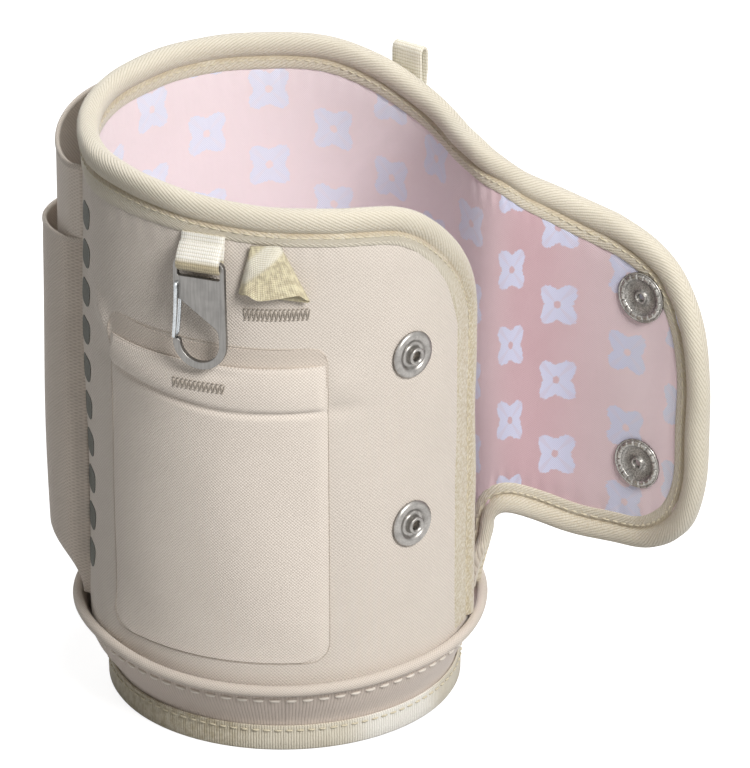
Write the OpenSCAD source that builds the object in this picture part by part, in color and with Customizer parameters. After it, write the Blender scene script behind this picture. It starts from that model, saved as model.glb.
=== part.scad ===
// Padded wrap-around carrier sleeve for a large drinks tumbler, with its closing flap open.
// Millimetres. The origin is the centre of the open base, on the resting plane; +Z is up and
// -Y is the front, with the pocket and the clip. Angles round the wall start at the front and
// grow towards +X.

/* [Wall] */
// Clear radius inside the lining
cavity_r = 50.2; // [47:0.1:54]
// Thickness of the outer canvas
canvas_t = 0.7; // [0.4:0.1:1]
// Thickness of the printed lining
lining_t = 0.5; // [0.3:0.1:0.8]
// Thickness of the foam between them
foam_t = 2.8; // [2:0.1:4]
// Height of the rim at the side opposite the flap
rim_h = 166; // [156:1:176]
// Dip of the rim at the front
front_dip = 4.4; // [2:0.2:6]
// Extra height of the rim at the back
back_rise = 4; // [0:0.5:6]
// Fall of the rim from the back to the root of the flap
back_fall = 19; // [14:1:24]
// Further fall of the rim sixty degrees from the front
front_fall = 9.5; // [6:0.5:12]
// Angle of the free front edge
front_edge_a = 74; // [70:1:76]
// Angle at which the rounded front corner begins
corner_start_a = 44; // [40:1:50]
// Height of the rounded front corner
corner_h = 22; // [16:1:28]

/* [Base] */
// Radius of the open base
base_open_r = 42.5; // [41:0.5:46]
// Height of the ribbon hem
hem_h = 7.5; // [5:0.5:9]
// Width of the ribbon hem across its fold
hem_w = 5.6; // [4.5:0.1:6]
// Thickness of the ribbon
ribbon_t = 0.8; // [0.5:0.1:1]
// Height at which the wall starts to taper towards the base
taper_h = 22; // [20:1:27]
// Height of the lower edge of the padded wall
wall_bottom_h = 10; // [9:0.5:12]
// Radius lost by the wall over the taper
taper_in = 4.6; // [3.5:0.1:5]
// Thickness of the collar band
collar_t = 1; // [0.6:0.1:1.4]
// Radius of the rolled piping on the collar
piping_r = 1.3; // [1:0.1:1.6]

/* [Binding] */
// Thickness of the binding tape
tape_t = 0.6; // [0.4:0.05:0.8]
// Width of the binding on the outside
tape_out = 9; // [7:0.5:12]
// Width of the binding on the lining side
tape_in = 7; // [5:0.5:9]
// Width of the flap's binding on each side
flap_tape_w = 6; // [5:0.2:6.4]

/* [Flap] */
// Space between the wall and the closed flap
flap_space = 2.6; // [2.4:0.1:3.2]
// Angle at which the closed flap ends
flap_tip_a = 18.5; // [18:0.5:24]
// Angle over which the flap steps out over the front edge
flap_ramp_a = 18; // [17:1:19]
// Fall of the flap's upper edge from its root to its tip
flap_top_fall = 17.5; // [12:0.5:20]
// Length along the flap over which its upper edge falls
flap_slope_l = 56; // [40:1:60]
// Height of the lower edge of the flap at its root
flap_low_root_h = 48; // [44:1:60]
// Height of the lower edge of the flap near its tip
flap_low_tip_h = 40; // [36:1:44]
// Length of the rounded corners along the flap
flap_corner_l = 26; // [18:1:28]
// Height of the upper rounded corner
flap_corner_top_h = 36; // [24:1:38]
// Height of the lower rounded corner
flap_corner_low_h = 25; // [14:1:28]
// Angle by which the flap stands open
flap_open_a = 103; // [90:1:110]
// Radius of the fold line that the flap swings about
fold_r = 1.3; // [1:0.1:1.5]

/* [Snaps] */
// Angle of the snaps round the wall
snap_a = 39.5; // [38:0.5:44]
// Drop of the upper snap below the flap's upper edge
snap_drop = 17; // [16:0.5:20]
// Distance between the two snaps
snap_pitch = 50.5; // [44:0.5:51]
// Radius of the socket
socket_r = 7.35; // [7:0.05:7.6]
// Depth of the socket below the lining
socket_depth = 1; // [0.8:0.1:1.1]
// Radius of the socket's mouth
socket_mouth_r = 4.9; // [4.7:0.1:5.2]
// Radius of the stud's flange
stud_flange_r = 6.5; // [6:0.1:6.8]
// Radius of the stud's head
stud_head_r = 2.9; // [2.6:0.1:3]
// Height of the stud's head above the canvas
stud_head_h = 2.6; // [2.4:0.1:3]
// Radius of the rivet shanks
shank_r = 2; // [1.8:0.1:2.1]
// Radius of the spring wire in the socket
spring_wire_r = 0.25; // [0.2:0.05:0.3]
// Radius of the cap on the outside of the flap
cap_r = 7; // [6.5:0.1:7.2]

/* [Front pocket] */
// Angle of the pocket's left side
pocket_left_a = -58; // [-62:1:-54]
// Angle of the pocket's right side
pocket_right_a = 13; // [10:1:15]
// Height of the pocket's lower edge
pocket_low_h = 29.5; // [28:0.5:40]
// Height of the pocket's mouth
pocket_mouth_h = 116; // [105:1:116.5]
// Space inside the pocket
pocket_space = 6.6; // [5.6:0.2:8]
// Thickness of the knitted panel
knit_t = 0.9; // [0.6:0.1:1.2]
// Height of the hem at the mouth
pocket_hem_h = 10; // [8:0.5:12]

/* [Back pockets] */
// Angle of the back pockets' first side
back_left_a = -180; // [-184:1:-176]
// Angle of the back pockets' last side
back_right_a = -84; // [-88:1:-80]
// Drop of the phone pocket's rim below the sleeve's
phone_drop = 12; // [12:1:26]
// Drop of the card pocket's rim below the phone pocket's
card_drop = 22; // [18:1:34]
// Gap between the piping and the back pockets' lower edge
back_foot = 1; // [0.5:0.5:6]
// Space inside the phone pocket
phone_space = 10.6; // [8:0.2:12]
// Space between the phone pocket and the card pocket
card_space = 5; // [1:0.2:6]
// Height of the binding on the back pockets' rims
back_hem_h = 4; // [3:0.5:6]

/* [Straps and clip] */
// Angle of the clip round the wall
clip_a = -22; // [-26:1:-18]
// Width of the webbing
webbing_w = 12; // [10:0.5:12.5]
// Thickness of the webbing
webbing_t = 1; // [0.8:0.1:1.2]
// Drop of the clip's bar below the rim's binding
clip_drop = 6.4; // [6:0.2:8]
// Width of the clip
clip_w = 15.5; // [15.3:0.1:17]
// Length of the clip below its bar
clip_l = 30; // [28:0.5:31]
// Thickness of the clip's plate
clip_t = 2; // [1.6:0.1:2.2]
// Width of the clip's rails
clip_rail_w = 1.8; // [1.6:0.1:2.4]
// Radius of the gate wire
gate_wire_r = 0.55; // [0.45:0.05:0.6]
// Angle of the triangular strap loop
front_loop_a = -3; // [-6:1:0]
// Width of the triangular strap loop at its base
front_loop_w = 18; // [14:1:20]
// Width of the triangular strap loop at its top
front_loop_top_w = 7; // [5:0.5:9]
// Sideways lean of the triangular strap loop
front_loop_lean = 2; // [0:0.5:3]
// Length of the triangular strap loop below the rim's binding
front_loop_l = 13.5; // [12:0.5:16]
// Angle of the standing strap loop
back_loop_a = 141; // [136:1:148]
// Width of the standing strap loop
back_loop_w = 10; // [8:0.5:12]
// Rise of the standing strap loop above the rim
back_loop_rise = 7.5; // [6:0.5:12]
// Width of the stitched tacks
tack_w = 13; // [10:1:15]

/* [Hidden] */
$fn = 64;

lay = 0.1;                  // play between layers that lie on each other
seat = 0.05;                // play between a fastener and what it is pressed on
tape_play = 0.2;            // play between the folded tape and the wall
swing_gap = 0.3;            // play between pieces that move past each other
wall_t = canvas_t + foam_t + lining_t + 2 * lay;
flap_root_h = rim_h + back_rise - back_fall;
flap_top_h = flap_root_h - flap_top_fall;
half_t = wall_t / 2;
mid_r = cavity_r + half_t;
out_r = cavity_r + wall_t;
hinge_a = 90;
wall_turn = 360 - hinge_a;  // the wall runs from -wall_turn to the front edge
fold_wedge = 0.42;          // half thickness gained per millimetre from the fold line
root_d = fold_r + swing_gap;
foam_start_d = 5;
flap_in_r = out_r + flap_space;
flap_mid_r = flap_in_r + half_t;
flap_out_r = flap_in_r + wall_t;
snap_heights = [flap_top_h - snap_drop - snap_pitch, flap_top_h - snap_drop];
hem_out_r = base_open_r + hem_w;
piping_mid_r = out_r + tape_play + tape_t + swing_gap + piping_r;
piping_mid_h = taper_h + 1.7;
edge_low_h = piping_mid_h + piping_r + swing_gap;
back_low_h = edge_low_h + back_foot;
phone_h = rim_h - phone_drop;
card_h = phone_h - card_drop;
dip_a = [-55, 10];          // the rim dips between these angles towards the front
rise_a = [70, 150];         // rises between these towards the back
fall_a = [185, wall_turn];  // and falls between these towards the flap
clip_bar_h = tape_low_h(clip_a) - clip_drop;
edge_lead = 8;              // from the rounded corner down to the tape's next ring
clip_bar_n = 3.5;           // clip's bar, out from the canvas
clip_bar_r = 1.3;
tack_t = 0.6;
tack_h = 3;
tack_gap = 1.5;             // from a strap loop down to its tack

// ---- small helpers ----
function deg_of(s, r) = s / r * 180 / PI;
function arc_of(a, r) = a * PI / 180 * r;
function smooth(t) = let (u = min(1, max(0, t))) u * u * (3 - 2 * u);
function around(a, r, z) = [r * sin(a), -r * cos(a), z];
function span(from, to, count) = [for (i = [0:count]) from + (to - from) * i / count];
function turned(p, centre, a) =
    [centre + (p[0] - centre) * cos(a) - p[1] * sin(a),
     (p[0] - centre) * sin(a) + p[1] * cos(a),
     p[2]];

// ---- the wall ----
// Half of the wall's thickness at a distance from the fold line.
function half_at(d) = min(half_t, fold_wedge * max(d, root_d));
// Middle of the wall, which tapers towards the base.
function wall_mid_r(z) =
    mid_r - taper_in * min(1, max(0, taper_h - z) / (taper_h - wall_bottom_h));
function rim_plain(a) = rim_h
    - front_dip * smooth((a - dip_a[0]) / (dip_a[1] - dip_a[0]))
    - front_fall * pow(max(0, a) / 60, 2)
    + back_rise * smooth((-a - rise_a[0]) / (rise_a[1] - rise_a[0]))
    - back_fall * smooth((-a - fall_a[0]) / (fall_a[1] - fall_a[0]));
// Height of the wall's upper edge, with the rounded corner at the front.
function corner_u(a) = min(1, max(0, (a - corner_start_a) / (front_edge_a - corner_start_a)));
function rim_at(a) = rim_plain(a) - corner_h * (1 - sqrt(1 - pow(corner_u(a), 2)));
function tape_low_h(a) = rim_at(a) - tape_out;
// Angles of the wall's columns, closer together round the corner.
function wall_angles(start_d) = concat(
    [-wall_turn + deg_of(start_d, mid_r), -wall_turn + deg_of(max(start_d, 2.8), mid_r) + 0.1,
     -wall_turn + deg_of(foam_start_d, mid_r) + 0.2],
    [for (a = [-258:5:corner_start_a - 3]) a],
    [for (p = [0:10:90]) corner_start_a + (front_edge_a - corner_start_a) * sin(p)]);
function wall_rows(a) = concat([wall_bottom_h, taper_h], span(taper_h + 12, rim_at(a), 5));
function wall_face(start_d, offset_of) = [for (a = wall_angles(start_d))
    let (n = offset_of(half_at(arc_of(a + wall_turn, mid_r))))
    [for (z = wall_rows(a)) around(a, wall_mid_r(z) + n, z)]];

// ---- the flap, drawn closed and then turned open about the fold line ----
function flap_mid_at(a) = mid_r + (flap_mid_r - mid_r) * smooth((hinge_a - a) / flap_ramp_a);
function flap_len(a) = arc_of(hinge_a - a, flap_mid_r);
flap_full_l = flap_len(flap_tip_a);
function flap_angle(s) = hinge_a - deg_of(s, flap_mid_r);
function flap_corner_u(s) = min(1, max(0, (s - flap_full_l + flap_corner_l) / flap_corner_l));
function flap_top_plain(s) = flap_root_h - (flap_root_h - flap_top_h) * smooth(s / flap_slope_l);
function flap_low_plain(s) =
    flap_low_root_h - (flap_low_root_h - flap_low_tip_h) * smooth((s - 6) / 34);
function corner_drop(u) = 1 - sqrt(1 - u * u);
function flap_top(s) = flap_top_plain(s) - flap_corner_top_h * corner_drop(flap_corner_u(s));
function flap_low(s) = flap_low_plain(s) + flap_corner_low_h * corner_drop(flap_corner_u(s));
function flap_point(s, n, z) =
    let (a = flap_angle(s))
    turned(around(a, flap_mid_at(a) + n, z), mid_r, flap_open_a);
function flap_stations(start_d) = concat(
    [start_d, max(start_d, 2.8) + 0.1],
    span(foam_start_d + 0.2, flap_full_l - flap_corner_l, 12),
    [for (p = [10:10:90]) flap_full_l - flap_corner_l + flap_corner_l * sin(p)]);
function flap_face(start_d, offset_of) = [for (s = flap_stations(start_d))
    let (n = offset_of(half_at(s)))
    [for (t = span(0, 1, 6)) flap_point(s, n, flap_low(s) + (flap_top(s) - flap_low(s)) * t)]];

// Offsets of each layer's two faces from the middle of a wall of half thickness h.
canvas_out = function (h) h;
canvas_in = function (h) h - canvas_t * min(1, h / half_t * 1.4);
foam_out = function (h) h - canvas_t - lay;
foam_in = function (h) lining_t + lay - h;
lining_out = function (h) lining_t * min(1, h / half_t * 1.4) - h;
lining_in = function (h) -h;

// ---- solids from grids and rings ----
// Closed solid between two grids of the same size; the first faces outwards.
module between(face, back) {
    m = len(face);
    n = len(face[0]);
    points = concat([for (column = face) each column], [for (column = back) each column]);
    f = function (i, j) i * n + j;
    b = function (i, j) m * n + i * n + j;
    polyhedron(points, concat(
        [for (i = [0:m - 2], j = [0:n - 2]) each
            [[f(i, j), f(i, j + 1), f(i + 1, j + 1)], [f(i, j), f(i + 1, j + 1), f(i + 1, j)],
             [b(i, j), b(i + 1, j + 1), b(i, j + 1)], [b(i, j), b(i + 1, j), b(i + 1, j + 1)]]],
        [for (i = [0:m - 2]) each
            [[f(i, 0), f(i + 1, 0), b(i + 1, 0)], [f(i, 0), b(i + 1, 0), b(i, 0)],
             [f(i, n - 1), b(i + 1, n - 1), f(i + 1, n - 1)],
             [f(i, n - 1), b(i, n - 1), b(i + 1, n - 1)]]],
        [for (j = [0:n - 2]) each
            [[f(0, j), b(0, j), b(0, j + 1)], [f(0, j), b(0, j + 1), f(0, j + 1)],
             [f(m - 1, j), b(m - 1, j + 1), b(m - 1, j)],
             [f(m - 1, j), f(m - 1, j + 1), b(m - 1, j + 1)]]]), convexity = 8);
}

// Closed strip swept through rings of points. The first half of each ring is the strip's outer
// side, and the second half runs back along its inner side.
module through(rings) {
    m = len(rings);
    n = len(rings[0]);
    end = (m - 1) * n;
    polyhedron([for (ring = rings) each ring], concat(
        [for (i = [0:m - 2], j = [0:n - 1]) let (k = (j + 1) % n) each
            [[i * n + j, (i + 1) * n + k, (i + 1) * n + j], [i * n + j, i * n + k, (i + 1) * n + k]]],
        [for (j = [0:n / 2 - 2]) let (k = n - 1 - j) each
            [[j, k, j + 1], [k, k - 1, j + 1],
             [end + j, end + j + 1, end + k], [end + k, end + j + 1, end + k - 1]]]), convexity = 8);
}

// Tape folded over an edge. The edge is a list of [along, height]; the fabric lies to the right
// of the way the edge runs, and place(along, offset, height) puts a point on the wall. It is
// mirrored where the wall's outer face lies on the other side of the way the edge runs.
module folded_tape(edge, place, out_w, in_w, mirrored = false) {
    last = len(edge) - 1;
    inner_n = half_t + tape_play;
    outer_n = inner_n + tape_t;
    fold = -tape_play - tape_t;
    bow = 0.04;
    bevel_n = 1.1;
    bevel_l = 0.4;
    section = [[outer_n, out_w], [outer_n + bow, out_w / 2], [outer_n, bevel_l],
               [outer_n - bevel_n, fold], [bevel_n - outer_n, fold],
               [-outer_n, bevel_l], [-outer_n - bow, in_w / 2], [-outer_n, in_w],
               [-inner_n, in_w], [-inner_n - bow, in_w / 2], [-inner_n, 0],
               [-half_t, -tape_play], [half_t, -tape_play],
               [inner_n, 0], [inner_n + bow, out_w / 2], [inner_n, out_w]];
    through([for (k = [0:last])
        let (i = mirrored ? last - k : k,
             way = edge[min(last, i + 1)] - edge[max(0, i - 1)],
             unit = way / norm(way),
             inward = [unit[1], -unit[0]])
        [for (c = section)
            place(edge[i][0] + inward[0] * c[1], c[0], edge[i][1] + inward[1] * c[1])]]);
}

function wall_point(s, n, z) = around(deg_of(s, mid_r), wall_mid_r(z) + n, z);
place_on_wall = function (s, n, z) wall_point(s, n, z);
place_on_flap = function (s, n, z) flap_point(s, n, z);

// Moves to a spot on the canvas: x along the wall, -y straight out and z up from the base.
module on_canvas(a) {
    rotate([0, 0, a])
        translate([0, -out_r, 0])
            children();
}

// Turns a shape's +Z to point straight out of the wall at radius r, at angle a and height z.
module facing_out(a, r, z) {
    rotate([0, 0, a])
        translate([0, -r, z])
            rotate([90, 0, 0])
                children();
}

module open_flap() {
    translate([mid_r, 0, 0])
        rotate([0, 0, flap_open_a])
            translate([-mid_r, 0, 0])
                children();
}

module tube(radius, bore, from, to) {
    rotate_extrude()
        translate([bore, from])
            square([radius - bore, to - from]);
}

module shank_holes(base_r) {
    for (z = snap_heights)
        facing_out(snap_a, base_r - 2 * wall_t, z)
            cylinder(r = shank_r + seat, h = 4 * wall_t);
}

// ---- wrap ----
module outer_shell() {
    color("#cfc3b6") {
        difference() {
            between(wall_face(fold_r * 0.6, canvas_out), wall_face(fold_r * 0.6, canvas_in));
            shank_holes(out_r);
        }
        translate([mid_r, 0, flap_low_root_h])
            cylinder(r = fold_r, h = flap_root_h - flap_low_root_h);
    }
}

module foam_layer() {
    color("#f2f0ea")
        difference() {
            between(wall_face(foam_start_d, foam_out), wall_face(foam_start_d, foam_in));
            shank_holes(out_r);
        }
}

module lining() {
    color("#ecccd2")
        difference() {
            between(wall_face(fold_r * 1.2, lining_out), wall_face(fold_r * 1.2, lining_in));
            shank_holes(out_r);
        }
}

module rim_binding() {
    rim_edge = concat(
        [for (a = [-262, each [-258:5:corner_start_a - 3]]) [arc_of(a, mid_r), rim_at(a)]],
        [for (p = [0:10:90])
            let (a = corner_start_a + (front_edge_a - corner_start_a) * sin(p))
            [arc_of(a, mid_r), rim_at(a)]],
        [for (z = span(rim_at(front_edge_a) - edge_lead, edge_low_h, 5)) [arc_of(front_edge_a, mid_r), z]]);
    color("#efe8d0")
        folded_tape(rim_edge, place_on_wall, tape_out, tape_in);
}

module end_binding() {
    top_h = flap_low_root_h - 2 * tape_t - swing_gap;
    color("#efe8d0")
        folded_tape([for (z = span(edge_low_h, top_h, 3)) [arc_of(-wall_turn, mid_r), z]],
            place_on_wall, tape_in, tape_in);
}

module collar_band() {
    band_low_r = hem_out_r - ribbon_t - lay;
    wall_low_r = out_r - taper_in;
    color("#c9beb2")
        rotate_extrude()
            polygon([
                [band_low_r - collar_t, ribbon_t + lay],
                [band_low_r, ribbon_t + lay],
                [band_low_r, hem_h + lay],
                [wall_low_r + lay + collar_t + 0.2, wall_bottom_h],
                [piping_mid_r, piping_mid_h - piping_r - seat],
                [piping_mid_r - collar_t, piping_mid_h - piping_r - seat],
                [out_r + lay, taper_h - 1],
                [wall_low_r + lay, wall_bottom_h - 0.4],
                [band_low_r - collar_t, hem_h + lay]]);
}

module collar_piping() {
    color("#d8cdc1")
        rotate_extrude()
            translate([piping_mid_r, piping_mid_h])
                circle(r = piping_r);
}

module hem_binding() {
    color("#d9d2bb") {
        tube(hem_out_r, base_open_r, 0, ribbon_t);
        tube(hem_out_r, hem_out_r - ribbon_t, 0, hem_h);
        tube(base_open_r + ribbon_t, base_open_r, 0, hem_h);
    }
}

module hem_elastic() {
    elastic_in_r = base_open_r + ribbon_t + lay;
    elastic_out_r = hem_out_r - ribbon_t - 2 * lay - collar_t;
    color("#f5f3ee")
        tube(elastic_out_r, elastic_in_r, ribbon_t + lay, hem_h - lay);
}

// ---- pockets ----
// A pocket's bulge: none along the stitched sides and foot, full over the rest.
function bulge(a, z, a_from, a_to, z_low, z_rise) =
    let (t = (a - a_from) / (a_to - a_from))
    pow(sin(180 * min(1, max(0, t))), 0.6) * smooth((z - z_low) / z_rise);
function front_in_r(a, z) = out_r + lay
    + pocket_space * bulge(a, z, pocket_left_a, pocket_right_a, pocket_low_h, 26);
function phone_in_r(a, z) = out_r + lay
    + phone_space * bulge(a, z, back_left_a, back_right_a, back_low_h, back_foot_h);
function card_in_r(a, z) = phone_in_r(a, z) + knit_t + lay
    + card_space * bulge(a, z, back_left_a, back_right_a, back_low_h, back_foot_h);
// The phone pocket's mouth follows the rim.
function phone_lift(a, z) =
    (rim_plain(a) - rim_h) * smooth((z - back_low_h - back_foot_h) / card_drop);

module pocket_sheet(angles, heights, radius_of, thickness, lift = function (a, z) 0) {
    between([for (a = angles) [for (z = heights)
            around(a, radius_of(a, z) + thickness, z + lift(a, z))]],
        [for (a = angles) [for (z = heights) around(a, radius_of(a, z), z + lift(a, z))]]);
}

back_foot_h = 15;           // height over which the back pockets bulge out above their foot
front_angles = [for (p = span(-90, 90, 16))
    (pocket_left_a + pocket_right_a) / 2 + (pocket_right_a - pocket_left_a) / 2 * sin(p)];
back_angles = [for (p = span(-90, 90, 20))
    (back_left_a + back_right_a) / 2 + (back_right_a - back_left_a) / 2 * sin(p)];

module front_pocket_panel() {
    color("#d9cfc3")
        pocket_sheet(front_angles, concat(span(pocket_low_h, pocket_low_h + 26, 4),
            [pocket_mouth_h]), function (a, z) front_in_r(a, z), knit_t);
}

module front_pocket_hem() {
    color("#ded4c8")
        pocket_sheet(front_angles, [pocket_mouth_h - pocket_hem_h, pocket_mouth_h],
            function (a, z) front_in_r(a, z) + knit_t + seat, knit_t);
}

module front_pocket_tack() {
    middle_a = (pocket_left_a + pocket_right_a) / 2;
    half_a = deg_of(tack_w / 2, out_r);
    color("#a39789")
        pocket_sheet(span(middle_a - half_a, middle_a + half_a, 3),
            span(pocket_mouth_h - pocket_hem_h * 0.75, pocket_mouth_h - pocket_hem_h / 2, 1),
            function (a, z) front_in_r(a, z) + 2 * (knit_t + lay), tack_t);
}

module phone_pocket_panel() {
    color("#b5a99c")
        pocket_sheet(back_angles, concat(span(back_low_h, back_low_h + back_foot_h, 3), [phone_h]),
            function (a, z) phone_in_r(a, z), knit_t, function (a, z) phone_lift(a, z));
}

module phone_pocket_binding() {
    color("#cfc4b8")
        pocket_sheet(back_angles, [phone_h - back_hem_h, phone_h],
            function (a, z) phone_in_r(a, z) + knit_t + seat, tape_t,
            function (a, z) phone_lift(a, z));
}

module card_pocket_panel() {
    color("#ab9f92")
        pocket_sheet(back_angles, concat(span(back_low_h, back_low_h + back_foot_h, 3), [card_h]),
            function (a, z) card_in_r(a, z), knit_t);
}

module card_pocket_binding() {
    color("#cfc4b8")
        pocket_sheet(back_angles, [card_h - back_hem_h, card_h],
            function (a, z) card_in_r(a, z) + knit_t + seat, tape_t);
}

// ---- strap loops ----
front_loop_low_h = tape_low_h(front_loop_a) - front_loop_l;
front_loop_top_h = tape_low_h(front_loop_a) - lay - 0.6;
front_loop_t = 3.4;
module loop_triangle(inset) {
    offset(delta = -inset)
        polygon([[-front_loop_w / 2, front_loop_low_h], [front_loop_w / 2, front_loop_low_h],
            [front_loop_top_w / 2 - front_loop_lean, front_loop_top_h],
            [-front_loop_top_w / 2 - front_loop_lean, front_loop_top_h]]);
}

module strap_loop_front() {
    color("#f0e9cf")
        on_canvas(front_loop_a)
            difference() {
                translate([0, -lay - 0.9, 0])
                    rotate([90, 0, 0])
                        linear_extrude(front_loop_t)
                            loop_triangle(0);
                translate([0, -lay - 0.9 - webbing_t, -webbing_t - 1])
                    rotate([90, 0, 0])
                        linear_extrude(front_loop_t - 2 * webbing_t)
                            loop_triangle(webbing_t);
            }
}

module strap_tack_front() {
    half_a = deg_of(front_loop_w / 2, out_r);
    color("#a39789")
        pocket_sheet(span(front_loop_a - half_a, front_loop_a + half_a, 4),
            [front_loop_low_h - tack_gap - tack_h, front_loop_low_h - tack_gap],
            function (a, z) out_r + seat, tack_t);
}

back_loop_edge_h = rim_at(back_loop_a - 360);
back_loop_low_h = tape_low_h(back_loop_a - 360) - 0.5;
back_loop_bend_r = 2;
back_loop_n = lay + tape_t + 2.4;   // middle of the bend, out from the canvas
module strap_loop_back() {
    bend_h = back_loop_edge_h + back_loop_rise - back_loop_bend_r;
    foot_n = back_loop_n - 0.9;
    color("#f0e9cf")
        on_canvas(back_loop_a)
            translate([-back_loop_w / 2, 0, 0])
                rotate([90, 0, 90])
                    linear_extrude(back_loop_w)
                        difference() {
                            hull() {
                                translate([-back_loop_n, bend_h])
                                    circle(r = back_loop_bend_r);
                                translate([-foot_n, back_loop_low_h])
                                    circle(r = webbing_t + 0.1);
                            }
                            hull() {
                                translate([-back_loop_n, bend_h])
                                    circle(r = back_loop_bend_r - webbing_t);
                                translate([-foot_n, back_loop_low_h + 5 * webbing_t])
                                    circle(r = 0.1);
                            }
                        }
}

module strap_tack_back() {
    half_a = deg_of(back_loop_w / 2, out_r);
    tack_top_h = back_loop_low_h - webbing_t - 2 * tack_gap;
    color("#a39789")
        pocket_sheet(span(back_loop_a - half_a, back_loop_a + half_a, 3),
            [tack_top_h - tack_h, tack_top_h],
            function (a, z) out_r + seat, tack_t);
}

// ---- snaps ----
module snap_studs() {
    step_r = socket_mouth_r - 1.1;
    head_bore_r = 1.3;
    shank_end = wall_t + 0.6;
    color("#6f6b66")
        for (z = snap_heights)
            facing_out(snap_a, out_r + seat, z)
                rotate_extrude()
                    polygon([
                        [head_bore_r, -shank_end], [shank_r, -shank_end], [shank_r, 0],
                        [stud_flange_r, 0], [stud_flange_r, 0.4], [stud_flange_r - 0.6, 0.7],
                        [step_r, 0.7], [step_r, 1], [stud_head_r, 1],
                        [stud_head_r - 0.2, 1.6], [stud_head_r, stud_head_h - 0.5],
                        [stud_head_r - 0.4, stud_head_h], [head_bore_r, stud_head_h]]);
}

module snap_stud_backs() {
    back_r = 4.5;
    back_t = 0.5;
    back_face_r = sqrt(pow(cavity_r, 2) - pow(back_r, 2)) - seat;
    color("#6f6b66")
        for (z = snap_heights)
            facing_out(snap_a, back_face_r - back_t, z)
                tube(back_r, shank_r + seat, 0, back_t);
}

module snap_sockets() {
    face_r = sqrt(pow(flap_in_r, 2) - pow(socket_r, 2)) - seat - socket_depth;
    chamber = socket_depth + 1.4;
    color("#5f5b57")
        open_flap()
            for (z = snap_heights)
                facing_out(snap_a, face_r, z)
                    rotate_extrude()
                        polygon([
                            [socket_mouth_r, 0.3], [socket_mouth_r + 0.3, 0], [socket_r - 0.5, 0],
                            [socket_r, 0.5], [socket_r, socket_depth],
                            [socket_mouth_r + 0.6, socket_depth],
                            [socket_mouth_r + 0.6, chamber + 0.5], [shank_r + seat, chamber + 0.5],
                            [shank_r + seat, chamber], [socket_mouth_r, chamber]]);
}

module socket_springs() {
    spring_mid_r = socket_mouth_r - spring_wire_r - seat;
    color("#b9b5ad")
        open_flap()
            for (z = snap_heights)
                facing_out(snap_a, flap_in_r - seat, z)
                    rotate_extrude(angle = 330)
                        translate([spring_mid_r, 0])
                            circle(r = spring_wire_r, $fn = 16);
}

module snap_caps() {
    shank_l = wall_t - 1.1;
    color("#7a756f")
        open_flap()
            for (z = snap_heights)
                facing_out(snap_a, flap_out_r + seat, z)
                    rotate_extrude()
                        polygon([
                            [0, -shank_l], [shank_r, -shank_l], [shank_r, 0], [cap_r - 0.5, 0],
                            [cap_r, 0.4], [cap_r - 0.3, 0.9], [cap_r - 2, 1.4], [0, 1.7]]);
}

// ---- flap ----
module flap_layer_cut(hole_r) {
    open_flap()
        for (z = snap_heights)
            facing_out(snap_a, flap_in_r - wall_t, z)
                cylinder(r = hole_r, h = 3 * wall_t);
}

module flap_outer() {
    color("#cfc3b6")
        difference() {
            between(flap_face(root_d, canvas_in), flap_face(root_d, canvas_out));
            flap_layer_cut(shank_r + seat);
        }
}

module flap_foam() {
    color("#f2f0ea")
        difference() {
            between(flap_face(foam_start_d, foam_in), flap_face(foam_start_d, foam_out));
            flap_layer_cut(socket_mouth_r + 0.7);
        }
}

module flap_lining() {
    color("#ecccd2")
        difference() {
            between(flap_face(root_d, lining_in), flap_face(root_d, lining_out));
            flap_layer_cut(socket_mouth_r + 0.7);
        }
}

module flap_binding() {
    first = foam_start_d + 0.2;
    top_s = span(first, flap_full_l - flap_corner_l, 12);
    corner_s = [for (p = [10:10:90]) flap_full_l - flap_corner_l + flap_corner_l * sin(p)];
    flap_edge = concat(
        [for (s = top_s) [s, flap_top(s)]],
        [for (s = corner_s) [s, flap_top(s)]],
        [for (i = [len(corner_s) - 1:-1:0]) [corner_s[i], flap_low(corner_s[i])]],
        [for (i = [len(top_s) - 1:-1:0]) [top_s[i], flap_low(top_s[i])]]);
    color("#efe8d0")
        folded_tape(flap_edge, place_on_flap, flap_tape_w, flap_tape_w, mirrored = true);
}

// ---- clip ----
clip_top = clip_bar_h + clip_bar_r;
clip_low = clip_bar_h - clip_l;
slot_h = 2.6;
ring_r = clip_w / 2;
ring_h = clip_low + ring_r;
nose_h = ring_h + 0.2;
pivot_x = -clip_w / 2 + 1.6;
pivot_h = clip_bar_h - 5.8;
gate_gap_h = clip_bar_h - 8.6;

module clip_webbing() {
    top_h = tape_low_h(clip_a) - lay - 1.9;
    color("#f3eed9")
        on_canvas(clip_a)
            translate([-webbing_w / 2, 0, 0])
                rotate([90, 0, 90])
                    linear_extrude(webbing_w)
                        difference() {
                            hull() {
                                translate([-clip_bar_n, clip_bar_h])
                                    circle(r = clip_bar_r + 0.4 + webbing_t);
                                translate([-1.4, top_h])
                                    circle(r = 1.1);
                            }
                            hull() {
                                translate([-clip_bar_n, clip_bar_h])
                                    circle(r = clip_bar_r + 0.4);
                                translate([-1.5, top_h - 2.2])
                                    circle(r = 0.1);
                            }
                        }
}

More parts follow.
